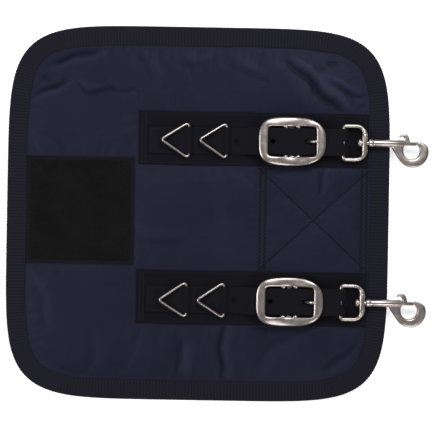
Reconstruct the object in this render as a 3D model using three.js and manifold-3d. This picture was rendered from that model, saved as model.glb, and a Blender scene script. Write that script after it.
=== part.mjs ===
// Chest extender for a horse rug: a quilted panel with two adjustable straps that end in swivel snap hooks.
// Millimetres. X runs across the panel towards the hooks, Y runs up the panel, Z stands out of its face.
import * as THREE from "three";
import { mergeVertices } from "three/addons/utils/BufferGeometryUtils.js";
import Module from "manifold-3d";

const wasm = await Module();
wasm.setup();

// Panel: a rounded square whose core sits in a folded edge binding.
const panel = {
  width: 356,
  height: 348,
  cornerPower: 5.8,
  bindingWidth: 18,
  bindingThickness: 1,
  coreInset: 1.3,
  liningThickness: 0.5,
  waddingThickness: 2.2,
  faceThickness: 0.5,
  layerGap: 0.1,
};

// Hook-and-loop patches, one on the face and one on the back.
const frontPatch = { width: 100, height: 100, thickness: 1.2, edgeGap: 0.5, y: 1.5 };
const backPatch = { width: 102, height: 94, thickness: 1, edgeGap: 1, y: -5 };

// Wide webbing sewn to the panel under each strap.
const webbing = { width: 50, thickness: 1.2, start: -56, edgeGap: 0.8 };

// Narrow strap, threaded through the hook's loop and back to the buckle's centre bar.
const strap = {
  width: 25,
  thickness: 1.5,
  gap: 0.1,
  sewnStart: -47,
  hinge: 30,
  hingeGap: 0.3,
  riseStart: 40,
  riseEnd: 58,
  holeRadius: 2.2,
  holes: [35, 68.5, 135.5],
  tongueHoleFromBar: 6.95,
  tongueHoleLength: 8,
  tailLength: 17,
  tailStitched: [13, 24],
};

// V-shaped wire rings held under the sewn end of the strap.
const ring = {
  wire: 1.25,
  places: { outer: -9, inner: 26 },
  besideStrap: 4.7,
  apex: 27,
  baseRoundingInWires: 5.2,
  apexRoundingInWires: 3.2,
  tilt: THREE.MathUtils.degToRad(15),
  buttGap: 0.3,
  tunnelGap: 0.2,
  steps: 32,
};

const buckle = {
  x: 86,
  endBarWidth: 8.75,
  railWidth: 8.5,
  leftPower: 3.4,
  rightPower: 2.6,
  windowWidth: 44.5,
  besideStrap: 1.5,
  windowCorner: 2.5,
  thickness: 3.2,
  dish: 3.2,
  barRadius: 1.6,
  wrapGap: 0.1,
  lugHalfWidth: 2.6,
  lugBesideStrap: 0.5,
  lugIntoRail: 3.5,
  lugDrop: 1.5,
  lugRise: 2.9,
  strapGap: 0.3,
};

const tongue = {
  thickness: 1.8,
  width: 3.2,
  sideGap: 0.6,
  eyeWall: 1,
  eyeGap: 0.15,
  barOverlap: 3.2,
  tipGap: 0.15,
};

const loop = {
  x: 134,
  wire: 1.9,
  besideStrap: 1.2,
  depth: 19.4,
  corner: 9,
  foldGap: 0.6,
  bossHalfThickness: 3,
  bossHalfWidth: 3.1,
  bossHalfLength: 9.6,
};

// Snap hook, measured along its own axis from the collar's near face.
const hook = {
  headRadius: 3.9,
  headLength: 3.1,
  headGap: 0.4,
  stemRadius: 2,
  stemGap: 0.4,
  collarRadius: 3.9,
  collarLength: 4,
  collarGap: 0.8,
  barrelRadius: 3.6,
  barrelEnd: 32.7,
  boreStart: 5.7,
  slotStart: 21.7,
  armHalfThickness: 2.8,
  webStart: 21.3,
  outerCentre: [40.9, -7.3],
  outerRadius: 14.8,
  throatCentre: [39.6, -6.8],
  throatRadius: 7.5,
  tipFace: 44.3,
  tipTop: 2.4,
};

const bolt = {
  radius: 1.8,
  boreGap: 0.3,
  start: 18.7,
  endGap: 0.3,
  thumbHalfWidth: 1.45,
  slotGap: 0.25,
  thumbHeight: 10,
  neckFromBarrel: 0.6,
};
const spring = { wire: 0.35, boreGap: 0.25, turns: 5, endGap: 0.5, stepsPerTurn: 8 };

// Sizes that follow the strap, the bolt and the stem.
const buckleWidth = buckle.windowWidth + 2 * buckle.endBarWidth;
const windowHeight = strap.width + 2 * buckle.besideStrap;
const buckleHeight = windowHeight + 2 * buckle.railWidth;
const endBarInner = buckle.x + buckle.windowWidth / 2;
const tongueHole = endBarInner - strap.tongueHoleFromBar;
const slotHalfWidth = tongue.width / 2 + tongue.sideGap;
const boreRadius = bolt.radius + bolt.boreGap;
const boss = [loop.depth - loop.bossHalfWidth, loop.depth + loop.bossHalfWidth].map((depth) => loop.x + depth);
const collarStart = boss[1] + hook.collarGap;

// Levels above the table, worked out from the layers.
const liningBottom = panel.bindingThickness + panel.layerGap;
const waddingBottom = liningBottom + panel.liningThickness + panel.layerGap;
const faceBottom = waddingBottom + panel.waddingThickness + panel.layerGap;
const faceTop = faceBottom + panel.faceThickness;
const onFace = faceTop + panel.layerGap;
const webbingTop = onFace + webbing.thickness;
const strapBottom = webbingTop + strap.gap;
const strapTop = strapBottom + strap.thickness;
const ringLevel = webbingTop + ring.wire + ring.tunnelGap;
const buckleBarLevel = strapTop + buckle.wrapGap + buckle.barRadius;
const overCentreBar = buckleBarLevel + buckle.barRadius + buckle.wrapGap + strap.thickness + strap.gap;
const overLoopBar = strapTop + 2 * (loop.wire + loop.foldGap);
const topLegBottom = Math.max(overCentreBar, overLoopBar);
const topLegTop = topLegBottom + strap.thickness;
const buckleBottom = topLegTop + buckle.strapGap;
const buckleTop = buckleBottom + buckle.thickness;
const hookLevel = (strapTop + topLegBottom) / 2;

// How far the binding's inner edge is from the panel's middle, at a height y.
const bindingInner = (y) =>
  (panel.width / 2) * (1 - Math.abs((2 * y) / panel.height) ** panel.cornerPower) ** (1 / panel.cornerPower) -
  panel.bindingWidth;

const materials = {
  face: { color: 0x282a39, roughness: 0.6, metalness: 0 },
  wadding: { color: 0xd8d8d4, roughness: 1, metalness: 0 },
  lining: { color: 0x22242f, roughness: 0.7, metalness: 0 },
  webbing: { color: 0x1c1b25, roughness: 0.85, metalness: 0 },
  patch: { color: 0x161617, roughness: 0.95, metalness: 0 },
  nickel: { color: 0xaca09c, roughness: 0.35, metalness: 1 },
  steel: { color: 0x9a9a98, roughness: 0.3, metalness: 1 },
};

function meshOf(name, geometry, material) {
  const mesh = new THREE.Mesh(geometry, new THREE.MeshStandardMaterial(materials[material]));
  mesh.name = name;
  return mesh;
}

// Joins and cuts -------------------------------------------------------------

function solidFrom(geometry) {
  const bare = new THREE.BufferGeometry();
  const flat = geometry.index ? geometry.toNonIndexed() : geometry;
  bare.setAttribute("position", flat.getAttribute("position"));
  const merged = mergeVertices(bare, 1e-4);
  const vertProperties = merged.attributes.position.array;
  const triVerts = new Uint32Array(merged.index.array);
  return new wasm.Manifold(new wasm.Mesh({ numProp: 3, vertProperties, triVerts }));
}

function geometryFrom(solid) {
  const mesh = solid.getMesh();
  const geometry = new THREE.BufferGeometry();
  geometry.setAttribute("position", new THREE.BufferAttribute(new Float32Array(mesh.vertProperties), 3));
  geometry.setIndex(new THREE.BufferAttribute(new Uint32Array(mesh.triVerts), 1));
  return geometry;
}

const join = (...parts) => parts.map(solidFrom).reduce((all, next) => all.add(next));
const cut = (solid, ...tools) => tools.map(solidFrom).reduce((left, next) => left.subtract(next), solid);

// Outlines and sweeps --------------------------------------------------------

const shapeOf = (points) => new THREE.Shape(points.map(([x, y]) => new THREE.Vector2(x, y)));

// A superellipse set back from its edge along the true normal; the two halves may have different powers.
function superellipse(halfX, halfY, leftPower, rightPower, inset, count) {
  const points = [];
  for (let i = 0; i < count; i++) {
    const turn = (2 * Math.PI * i) / count;
    const c = Math.cos(turn);
    const s = Math.sin(turn);
    const power = c < 0 ? leftPower : rightPower;
    const x = Math.sign(c) * halfX * Math.abs(c) ** (2 / power);
    const y = Math.sign(s) * halfY * Math.abs(s) ** (2 / power);
    const nx = (Math.sign(x) * Math.abs(x / halfX) ** (power - 1)) / halfX;
    const ny = (Math.sign(y) * Math.abs(y / halfY) ** (power - 1)) / halfY;
    const length = Math.hypot(nx, ny);
    points.push([x - (inset * nx) / length, y - (inset * ny) / length]);
  }
  return points;
}

const panelOutline = (inset) =>
  superellipse(panel.width / 2, panel.height / 2, panel.cornerPower, panel.cornerPower, inset, 72);

function arcPoints([x, y], radius, from, to, steps) {
  const points = [];
  for (let i = 0; i <= steps; i++) {
    const turn = from + ((to - from) * i) / steps;
    points.push([x + radius * Math.cos(turn), y + radius * Math.sin(turn)]);
  }
  return points;
}

// A flat plate lying on the level z.
function plate(outline, z, thickness, hole) {
  const shape = shapeOf(outline);
  if (hole) shape.holes.push(new THREE.Path(hole.map(([x, y]) => new THREE.Vector2(x, y))));
  return new THREE.ExtrudeGeometry(shape, { depth: thickness, bevelEnabled: false }).translate(0, 0, z);
}

// A side profile in X and Z, as wide as the strap it belongs to and centred on Y.
function sideways(profile, width) {
  const body = new THREE.ExtrudeGeometry(shapeOf(profile), { depth: width, bevelEnabled: false });
  return body.translate(0, 0, -width / 2).rotateX(Math.PI / 2);
}

function block(x0, x1, y0, y1, z0, z1) {
  const box = new THREE.BoxGeometry(x1 - x0, y1 - y0, z1 - z0);
  return box.translate((x0 + x1) / 2, (y0 + y1) / 2, (z0 + z1) / 2);
}

// A band of even thickness along a route in X and Z.
function band(route, thickness) {
  const sides = [1, -1].map((side) =>
    route.map(([x, z], i) => {
      const [ax, az] = route[Math.max(i - 1, 0)];
      const [bx, bz] = route[Math.min(i + 1, route.length - 1)];
      const length = Math.hypot(bx - ax, bz - az);
      const offset = (side * thickness) / 2;
      return [x - ((bz - az) / length) * offset, z + ((bx - ax) / length) * offset];
    }),
  );
  return [...sides[0], ...sides[1].reverse()];
}

// A path of straight stretches whose corners are rounded over the given lengths.
function roundedPath(corners) {
  const path = new THREE.CurvePath();
  let last = corners[0].at;
  corners.slice(1, -1).forEach(({ at, rounding }, i) => {
    const next = corners[i + 2].at;
    const before = at.clone().add(corners[i].at.clone().sub(at).setLength(rounding));
    const after = at.clone().add(next.clone().sub(at).setLength(rounding));
    path.add(new THREE.LineCurve3(last, before));
    path.add(new THREE.QuadraticBezierCurve3(before, at, after));
    last = after;
  });
  path.add(new THREE.LineCurve3(last, corners.at(-1).at));
  return path;
}

function wireAlong(path, radius, steps, sides) {
  const section = shapeOf(arcPoints([0, 0], radius, 0, 2 * Math.PI, sides).slice(0, -1));
  return new THREE.ExtrudeGeometry(section, { extrudePath: path, steps, bevelEnabled: false });
}

// A turned piece on the hook's axis, from its profile of [x, radius].
function turned(profile, sides) {
  const points = profile.map(([x, radius]) => new THREE.Vector2(radius, x));
  return new THREE.LatheGeometry(points, sides).rotateZ(-Math.PI / 2);
}

// A round rod along the hook's axis.
function rod(x0, x1, radius, sides) {
  const profile = [
    [x0, 0],
    [x0, radius],
    [x1, radius],
    [x1, 0],
  ];
  return turned(profile, sides);
}

// A round pin along Y.
const crossPin = (x, z, radius, width, sides) =>
  sideways(arcPoints([x, z], radius, 0, 2 * Math.PI, sides).slice(0, -1), width);

// Panel ----------------------------------------------------------------------

function makeBinding() {
  const outer = panelOutline(0);
  const inner = panelOutline(panel.bindingWidth);
  const backLeg = plate(outer, 0, panel.bindingThickness, inner);
  const frontLeg = plate(outer, onFace, panel.bindingThickness, inner);
  const edge = plate(outer, 0, onFace + panel.bindingThickness, panelOutline(panel.bindingThickness));
  return geometryFrom(join(backLeg, frontLeg, edge));
}

function addPanel(group) {
  const core = panelOutline(panel.coreInset);
  group.add(meshOf("lining", plate(core, liningBottom, panel.liningThickness), "lining"));
  group.add(meshOf("wadding", plate(core, waddingBottom, panel.waddingThickness), "wadding"));
  group.add(meshOf("face_fabric", plate(core, faceBottom, panel.faceThickness), "face"));
  group.add(meshOf("edge_binding", makeBinding(), "webbing"));
}

// Places a patch against one end of the panel, just inside the binding.
function patchGeometry(patch, side, z) {
  const corner = Math.abs(patch.y) + patch.height / 2;
  const centre = side * (bindingInner(corner) - patch.edgeGap - patch.width / 2);
  const box = new THREE.BoxGeometry(patch.width, patch.height, patch.thickness);
  return box.translate(centre, patch.y, z + patch.thickness / 2);
}

function addPatches(group) {
  group.add(meshOf("front_hook_patch", patchGeometry(frontPatch, -1, onFace), "patch"));
  group.add(meshOf("back_loop_patch", patchGeometry(backPatch, 1, 0), "patch"));
}

function baseWebbing(y) {
  const end = bindingInner(Math.abs(y) + webbing.width / 2) - webbing.edgeGap;
  const start = webbing.start + rowShift;
  return block(start, end, y - webbing.width / 2, y + webbing.width / 2, onFace, webbingTop);
}

// Strap ----------------------------------------------------------------------

// The sewn end lies on the webbing and arches over the two ring bars.
function sewnEnd() {
  const bars = Object.values(ring.places).sort((a, b) => a - b);
  const tunnel = ring.wire + ring.tunnelGap;
  const hump = tunnel + strap.thickness;
  const end = strap.hinge;
  const under = bars.flatMap((x) => [
    [x - tunnel, strapBottom],
    ...arcPoints([x, ringLevel], tunnel, Math.PI, 0, 8),
    [x + tunnel, strapBottom],
  ]);
  const start = Math.asin((strapTop - ringLevel) / hump);
  const over = [...bars].reverse().flatMap((x) => arcPoints([x, ringLevel], hump, start, Math.PI - start, 10));
  const outline = [
    [strap.sewnStart, strapBottom],
    ...under,
    [end, strapBottom],
    [end, strapTop],
    ...over,
    [strap.sewnStart, strapTop],
  ];
  return sideways(outline, strap.width);
}

// Centreline of the free strap: up through the buckle, round the loop's bar, back and round the centre bar.
function strapRoute() {
  const half = strap.thickness / 2;
  const low = strapBottom + half;
  const high = topLegBottom + half;
  const rise = [];
  const riseSteps = 8;
  for (let i = 0; i <= riseSteps; i++) {
    const part = i / riseSteps;
    const x = strap.riseStart + (strap.riseEnd - strap.riseStart) * part;
    rise.push([x, low + ((high - low) * (1 - Math.cos(Math.PI * part))) / 2]);
  }
  const fold = arcPoints([loop.x, hookLevel], (high - low) / 2, Math.PI / 2, -Math.PI / 2, 12);
  const wrapRadius = buckleBarLevel - low;
  const wrap = arcPoints([buckle.x, buckleBarLevel], wrapRadius, -Math.PI / 2, -1.5 * Math.PI, 10);
  const start = strap.hinge + strap.hingeGap;
  return [[start, low], ...rise, ...fold, ...wrap, [buckle.x + strap.tailLength, strapTop + half + 0.2]];
}

function freeStrap() {
  const [x0, x1] = strap.tailStitched.map((length) => buckle.x + length);
  const tail = block(x0, x1, -strap.width / 2, strap.width / 2, strapTop - 0.2, strapTop + strap.thickness);
  const eyeRoom = buckle.barRadius + buckle.wrapGap + strap.thickness + 0.2;
  const slotTop = topLegBottom - 0.05;
  const slotEnd = buckle.x + strap.tailLength + 0.5;
  const slot = block(buckle.x, slotEnd, -slotHalfWidth, slotHalfWidth, strapTop + 0.05, slotTop);
  const whole = join(sideways(band(strapRoute(), strap.thickness), strap.width), tail);
  const punched = strap.holes.map((x) => {
    const bottom = x < strap.riseStart ? 0 : hookLevel + loop.wire;
    const outline = arcPoints([x, 0], strap.holeRadius, 0, 2 * Math.PI, 12).slice(0, -1);
    return plate(outline, bottom, buckleTop);
  });
  const halfStretch = strap.tongueHoleLength / 2 - strap.holeRadius;
  const stretched = [
    ...arcPoints([tongueHole + halfStretch, 0], strap.holeRadius, -Math.PI / 2, Math.PI / 2, 6),
    ...arcPoints([tongueHole - halfStretch, 0], strap.holeRadius, Math.PI / 2, 1.5 * Math.PI, 6),
  ];
  const stretchedHole = plate(stretched, slotTop, buckleTop);
  const eyeSlot = crossPin(buckle.x, buckleBarLevel, eyeRoom, slotHalfWidth * 2, 20);
  const aboveSlot = plate(arcPoints([buckle.x, 0], strap.width, 0, 1.5 * Math.PI, 3), slotTop, buckleTop);
  const eyeCut = geometryFrom(cut(solidFrom(eyeSlot), aboveSlot));
  return geometryFrom(cut(whole, slot, eyeCut, stretchedHole, ...punched));
}

// Rings ----------------------------------------------------------------------

function ringGeometry() {
  const point = (s, y) => new THREE.Vector3(-s, y, 0);
  const halfBase = strap.width / 2 + ring.besideStrap;
  const baseRounding = ring.wire * ring.baseRoundingInWires;
  const corners = [
    { at: point(0, ring.buttGap / 2) },
    { at: point(0, halfBase), rounding: baseRounding },
    { at: point(ring.apex, 0), rounding: ring.wire * ring.apexRoundingInWires },
    { at: point(0, -halfBase), rounding: baseRounding },
    { at: point(0, -ring.buttGap / 2) },
  ];
  return wireAlong(roundedPath(corners), ring.wire, ring.steps, 8);
}

function ringMesh(name, x) {
  const mesh = meshOf(name, ringGeometry(), "nickel");
  mesh.position.set(x, 0, ringLevel);
  mesh.rotation.y = ring.tilt;
  return mesh;
}

// Buckle ---------------------------------------------------------------------

function buckleFrame() {
  const { windowWidth, windowCorner, x } = buckle;
  const oval = superellipse(buckleWidth / 2, buckleHeight / 2, buckle.leftPower, buckle.rightPower, 0, 48);
  const outer = oval.map(([px, py]) => [px + x, py]);
  const cornerX = windowWidth / 2 - windowCorner;
  const cornerY = windowHeight / 2 - windowCorner;
  const window = [0, 1, 2, 3].flatMap((i) => {
    const signX = i === 0 || i === 3 ? 1 : -1;
    const signY = i < 2 ? 1 : -1;
    const from = (i * Math.PI) / 2;
    return arcPoints([x + signX * cornerX, signY * cornerY], windowCorner, from, from + Math.PI / 2, 3);
  });
  const dishSteps = 12;
  const phase = (px) => (2 * Math.PI * (px - x)) / windowWidth;
  const level = (px) => buckleBottom - (buckle.dish * (1 + Math.cos(phase(px)))) / 2;
  const dish = [];
  for (let i = 0; i <= dishSteps; i++) {
    const px = x - windowWidth / 2 + (windowWidth * i) / dishSteps;
    dish.push([px, level(px)]);
  }
  const ends = [
    [x - buckleWidth / 2 - 1, buckleBottom],
    [x + buckleWidth / 2 + 1, buckleBottom],
  ];
  const under = [ends[0], ...dish, ends[1]];
  const over = under.map(([px, pz]) => [px, pz + buckle.thickness]).reverse();
  const tall = plate(outer, 0, buckleTop + 1, window);
  const strip = sideways([...under, ...over], buckleHeight + 2);
  const lugInner = strap.width / 2 + buckle.lugBesideStrap;
  const lugOuter = windowHeight / 2 + buckle.lugIntoRail;
  const bar = crossPin(x, buckleBarLevel, buckle.barRadius, lugOuter * 2, 16);
  const lugs = [1, -1].map((side) => {
    const [y0, y1] = [side * lugInner, side * lugOuter].sort((a, b) => a - b);
    const low = buckleBarLevel - buckle.lugDrop;
    const high = buckleBarLevel + buckle.lugRise;
    return block(x - buckle.lugHalfWidth, x + buckle.lugHalfWidth, y0, y1, low, high);
  });
  const frame = solidFrom(tall).intersect(solidFrom(strip));
  return geometryFrom([bar, ...lugs].map(solidFrom).reduce((all, next) => all.add(next), frame));
}

// The tongue turns on the centre bar, comes up through the strap and lies over the end bar.
function tongueGeometry() {
  const eyeInner = buckle.barRadius + tongue.eyeGap;
  const eyeOuter = eyeInner + tongue.eyeWall;
  const half = tongue.thickness / 2;
  const tipLevel = buckleTop + tongue.tipGap + half;
  const route = [
    [buckle.x + eyeInner + 0.3, buckleBarLevel],
    [tongueHole - 3.8, buckleBarLevel],
    [tongueHole - 2.1, buckleBarLevel + 0.7],
    [tongueHole + 1.7, topLegTop + 1.1],
    [endBarInner - 1.2, tipLevel],
    [endBarInner + tongue.barOverlap, tipLevel],
  ];
  const stem = sideways(band(route, tongue.thickness), tongue.width);
  const eye = crossPin(buckle.x, buckleBarLevel, eyeOuter, tongue.width, 16);
  const bore = crossPin(buckle.x, buckleBarLevel, eyeInner, tongue.width + 2, 16);
  return geometryFrom(cut(join(eye, stem), bore));
}

// Swivel loop ----------------------------------------------------------------

function loopGeometry() {
  const halves = [1, -1].map((side) => {
    const point = (depth, y) => new THREE.Vector3(loop.x + depth, side * y, hookLevel);
    const halfHeight = strap.width / 2 + loop.besideStrap + loop.wire;
    const corners = [
      { at: point(0, -1) },
      { at: point(0, halfHeight), rounding: loop.wire * 1.4 },
      { at: point(loop.depth, halfHeight), rounding: loop.corner },
      { at: point(loop.depth, -1) },
    ];
    return wireAlong(roundedPath(corners), loop.wire, 20, 8);
  });
  const half = loop.bossHalfLength;
  const [low, high] = [-1, 1].map((side) => hookLevel + side * loop.bossHalfThickness);
  const thick = block(boss[0], boss[1], -half, half, low, high);
  const pivotRadius = hook.stemRadius + hook.stemGap;
  const pivot = rod(boss[0] - 1, boss[1] + 1, pivotRadius, 16).translate(0, 0, hookLevel);
  return geometryFrom(cut(join(...halves, thick), pivot));
}

// Snap hook ------------------------------------------------------------------

function hookOutline() {
  const { outerCentre, outerRadius, throatCentre, throatRadius, webStart, tipFace, tipTop } = hook;
  const webRoot = [webStart, -hook.barrelRadius * 0.7];
  const dx = webRoot[0] - outerCentre[0];
  const dy = webRoot[1] - outerCentre[1];
  const tangent = Math.atan2(dy, dx) + Math.acos(outerRadius / Math.hypot(dx, dy));
  const noseStart = 2 * Math.PI + THREE.MathUtils.degToRad(14);
  const outer = arcPoints(outerCentre, outerRadius, tangent, noseStart, 22);
  const nose = new THREE.QuadraticBezierCurve(
    new THREE.Vector2(...outer.at(-1)),
    new THREE.Vector2(outer.at(-1)[0] - 1.2, tipTop - 3.4),
    new THREE.Vector2(tipFace + 1.8, tipTop),
  );
  const faceTurn = Math.acos((tipFace - throatCentre[0]) / throatRadius);
  const boreFloor = -boreRadius - 0.2;
  const webTurn = Math.PI - Math.asin((boreFloor - throatCentre[1]) / throatRadius);
  return [
    webRoot,
    ...outer,
    ...nose.getPoints(4).slice(1).map((p) => [p.x, p.y]),
    [tipFace, tipTop - 1],
    ...arcPoints(throatCentre, throatRadius, faceTurn, webTurn - 2 * Math.PI, 20),
    [hook.barrelEnd, boreFloor],
    [hook.barrelEnd, 0],
    [webStart, 0],
  ];
}

function hookGeometry() {
  const headEnd = boss[0] - hook.headGap - collarStart;
  const body = turned(
    [
      [headEnd - hook.headLength, 0],
      [headEnd - hook.headLength, hook.headRadius * 0.7],
      [headEnd - hook.headLength * 0.6, hook.headRadius],
      [headEnd, hook.headRadius],
      [headEnd, hook.stemRadius],
      [0, hook.stemRadius],
      [0, hook.collarRadius],
      [hook.collarLength - 0.6, hook.collarRadius],
      [hook.collarLength, hook.barrelRadius],
      [hook.barrelEnd, hook.barrelRadius],
      [hook.barrelEnd, 0],
    ],
    20,
  );
  const arm = plate(hookOutline(), -hook.armHalfThickness, hook.armHalfThickness * 2);
  const boreEnd = hook.barrelEnd + 4;
  const bore = rod(hook.boreStart, boreEnd, boreRadius, 16);
  const slotHalf = bolt.thumbHalfWidth + bolt.slotGap;
  const slot = block(hook.slotStart, boreEnd, 0, hook.barrelRadius + 1, -slotHalf, slotHalf);
  return geometryFrom(cut(join(body, arm), bore, slot));
}

function boltGeometry() {
  const shank = rod(bolt.start, hook.tipFace - bolt.endGap, bolt.radius, 14);
  const neck = hook.barrelEnd + bolt.neckFromBarrel;
  const { thumbHeight } = bolt;
  const back = [
    [neck + 4, 0.5],
    [neck + 3.4, thumbHeight * 0.6],
    [neck + 2.4, thumbHeight * 0.92],
    [neck - 0.6, thumbHeight],
    [neck - 3.6, thumbHeight * 0.86],
  ];
  const beak = [
    [neck - 5.6, thumbHeight * 0.64],
    [neck - 1.6, thumbHeight * 0.68],
    [neck, thumbHeight * 0.5],
    [neck, 0.5],
  ];
  const thumb = plate([...back, ...beak], -bolt.thumbHalfWidth, bolt.thumbHalfWidth * 2);
  return geometryFrom(join(shank, thumb));
}

class Helix extends THREE.Curve {
  constructor(start, end) {
    super();
    this.start = start;
    this.end = end;
  }

  getPoint(t, target = new THREE.Vector3()) {
    const turn = 2 * Math.PI * spring.turns * t;
    const x = this.start + (this.end - this.start) * t;
    const radius = boreRadius - spring.boreGap - spring.wire;
    return target.set(x, radius * Math.cos(turn), radius * Math.sin(turn));
  }
}

function springGeometry() {
  const coil = new Helix(hook.boreStart + spring.endGap, bolt.start - spring.endGap);
  return wireAlong(coil, spring.wire, spring.turns * spring.stepsPerTurn, 5);
}

// Assembly -------------------------------------------------------------------

const rows = [
  { name: "upper", webbingY: 70, strapY: 68 },
  { name: "lower", webbingY: -78, strapY: -80 },
];

// The rows stay at their distance from the panel's right edge.
const loopFromEdge = 44;
const rowShift = panel.width / 2 - loopFromEdge - loop.x;

function addRow(group, { name, webbingY, strapY }) {
  group.add(meshOf(`${name}_base_webbing`, baseWebbing(webbingY), "webbing"));
  const line = new THREE.Group();
  line.position.set(rowShift, strapY, 0);
  line.add(meshOf(`${name}_strap_sewn_end`, sewnEnd(), "webbing"));
  line.add(meshOf(`${name}_strap_free_end`, freeStrap(), "webbing"));
  Object.entries(ring.places).forEach(([place, x]) => line.add(ringMesh(`${name}_${place}_ring`, x)));
  line.add(meshOf(`${name}_buckle_frame`, buckleFrame(), "nickel"));
  line.add(meshOf(`${name}_buckle_tongue`, tongueGeometry(), "nickel"));
  line.add(meshOf(`${name}_swivel_loop`, loopGeometry(), "nickel"));
  const snap = new THREE.Group();
  snap.position.set(collarStart, 0, hookLevel);
  snap.add(meshOf(`${name}_snap_hook`, hookGeometry(), "nickel"));
  snap.add(meshOf(`${name}_snap_bolt`, boltGeometry(), "nickel"));
  snap.add(meshOf(`${name}_bolt_spring`, springGeometry(), "steel"));
  line.add(snap);
  group.add(line);
}

const extender = new THREE.Group();
addPanel(extender);
addPatches(extender);
rows.forEach((row) => addRow(extender, row));

// The origin is on the table, under the middle of the whole object.
const reach = new THREE.Box3().setFromObject(extender);
extender.position.x = -(reach.min.x + reach.max.x) / 2;

export default extender;
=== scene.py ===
# Horse rug chest extender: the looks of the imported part.
# Lengths in the dictionaries are millimetres, in the frame's own axes.
import math
import random

import bmesh
import bpy
from mathutils import Matrix, Vector
from mathutils.kdtree import KDTree


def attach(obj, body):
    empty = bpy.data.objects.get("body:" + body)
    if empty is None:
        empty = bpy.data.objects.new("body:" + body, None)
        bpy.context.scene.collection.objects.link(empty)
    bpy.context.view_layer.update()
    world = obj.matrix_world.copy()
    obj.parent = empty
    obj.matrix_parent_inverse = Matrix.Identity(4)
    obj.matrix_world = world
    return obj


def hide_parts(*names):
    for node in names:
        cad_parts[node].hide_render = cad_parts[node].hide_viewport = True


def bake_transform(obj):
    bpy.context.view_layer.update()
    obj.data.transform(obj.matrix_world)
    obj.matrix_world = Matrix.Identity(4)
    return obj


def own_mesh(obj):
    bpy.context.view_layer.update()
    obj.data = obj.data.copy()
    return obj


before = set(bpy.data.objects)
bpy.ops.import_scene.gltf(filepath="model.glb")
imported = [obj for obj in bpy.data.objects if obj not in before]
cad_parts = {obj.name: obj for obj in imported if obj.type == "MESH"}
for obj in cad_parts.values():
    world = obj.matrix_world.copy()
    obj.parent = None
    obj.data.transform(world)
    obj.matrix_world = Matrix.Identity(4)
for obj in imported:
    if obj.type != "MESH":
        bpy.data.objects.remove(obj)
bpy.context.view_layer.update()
bpy.ops.object.select_all(action="DESELECT")
random.seed(11)
mm = 0.001

rows = {
    "upper": {"webbingY": 70, "strapY": 68},
    "lower": {"webbingY": -78, "strapY": -80},
}
panel = {
    "centreX": -17.5,
    "halfX": 178,
    "halfY": 174,
    "cornerPower": 5.8,
    "bindingWidth": 18,
}


camera = {"place": (0.4, -2.8, 959), "roll": 1.0, "lens": 85, "sensor": 36}
studio = {
    "floorSize": 2600,
    "floorColour": (246, 246, 246),
    "floorGlow": 0.45,
    "skyColour": (255, 255, 255),
    "skyStrength": 0.27,
    "lamps": {  # place, size and power in watts
        "keyLamp": {"at": (230, 560, 760), "size": 400, "power": 6.8},
        "fillLamp": {"at": (-640, -60, 700), "size": 460, "power": 5.2},
        "lowLamp": {"at": (380, -680, 700), "size": 460, "power": 3.6},
    },
}


def colour(red, green, blue):
    # Screen values from 0 to 255, as the linear colour that a shader takes.
    linear = []
    for value in (red, green, blue):
        share = value / 255
        linear.append(share / 12.92 if share <= 0.04045 else ((share + 0.055) / 1.055) ** 2.4)
    return (*linear, 1)


def makeStudio():
    lens = bpy.data.cameras.new("studioCamera")
    lens.lens = camera["lens"]
    lens.sensor_width = camera["sensor"]
    lens.clip_start = 0.01
    eye = bpy.data.objects.new("studioCamera", lens)
    eye.location = [value * mm for value in camera["place"]]
    eye.rotation_euler = (0, 0, math.radians(camera["roll"]))
    bpy.context.collection.objects.link(eye)
    bpy.context.scene.camera = eye
    bpy.context.scene.view_settings.view_transform = "Standard"

    bpy.ops.mesh.primitive_plane_add(size=studio["floorSize"] * mm, location=(0, 0, -0.0002))
    floor = bpy.context.object
    floor.name = "studioFloor"
    paper = bpy.data.materials.new("floorPaper")
    paper.use_nodes = True
    shader = paper.node_tree.nodes["Principled BSDF"]
    shader.inputs["Base Color"].default_value = colour(*studio["floorColour"])
    shader.inputs["Roughness"].default_value = 0.9
    shader.inputs["Specular IOR Level"].default_value = 0.1
    shader.inputs["Emission Color"].default_value = colour(*studio["floorColour"])
    shader.inputs["Emission Strength"].default_value = studio["floorGlow"]
    floor.data.materials.append(paper)

    world = bpy.data.worlds.new("studioSky")
    world.use_nodes = True
    sky = world.node_tree.nodes["Background"]
    sky.inputs["Color"].default_value = colour(*studio["skyColour"])
    sky.inputs["Strength"].default_value = studio["skyStrength"]
    bpy.context.scene.world = world
    for name, lamp in studio["lamps"].items():
        light = bpy.data.lights.new(name, "AREA")
        light.size = lamp["size"] * mm
        light.energy = lamp["power"]
        holder = bpy.data.objects.new(name, light)
        holder.location = [value * mm for value in lamp["at"]]
        holder.rotation_euler = (-holder.location).to_track_quat("-Z", "Y").to_euler()
        bpy.context.collection.objects.link(holder)
    print("studio ready")


makeStudio()


def addNode(tree, kind, inputs=None, **settings):
    node = tree.nodes.new(kind)
    for name, value in settings.items():
        setattr(node, name, value)
    for name, value in (inputs or {}).items():
        if isinstance(value, bpy.types.NodeSocket):
            tree.links.new(value, node.inputs[name])
        else:
            node.inputs[name].default_value = value
    return node


def calc(tree, operation, first, second=0.0):
    return addNode(tree, "ShaderNodeMath", {0: first, 1: second}, operation=operation).outputs[0]


def remap(tree, value, low, high, newLow=0.0, newHigh=1.0):
    inputs = {"Value": value, "From Min": low, "From Max": high, "To Min": newLow, "To Max": newHigh}
    return addNode(tree, "ShaderNodeMapRange", inputs).outputs["Result"]


def mixColours(tree, mask, first, second):
    inputs = {0: mask, 6: first, 7: second}
    return addNode(tree, "ShaderNodeMix", inputs, data_type="RGBA").outputs[2]


def tint(tree, base, mask, share, shade):
    return mixColours(tree, calc(tree, "MULTIPLY", mask, share), base, colour(*shade))


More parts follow.
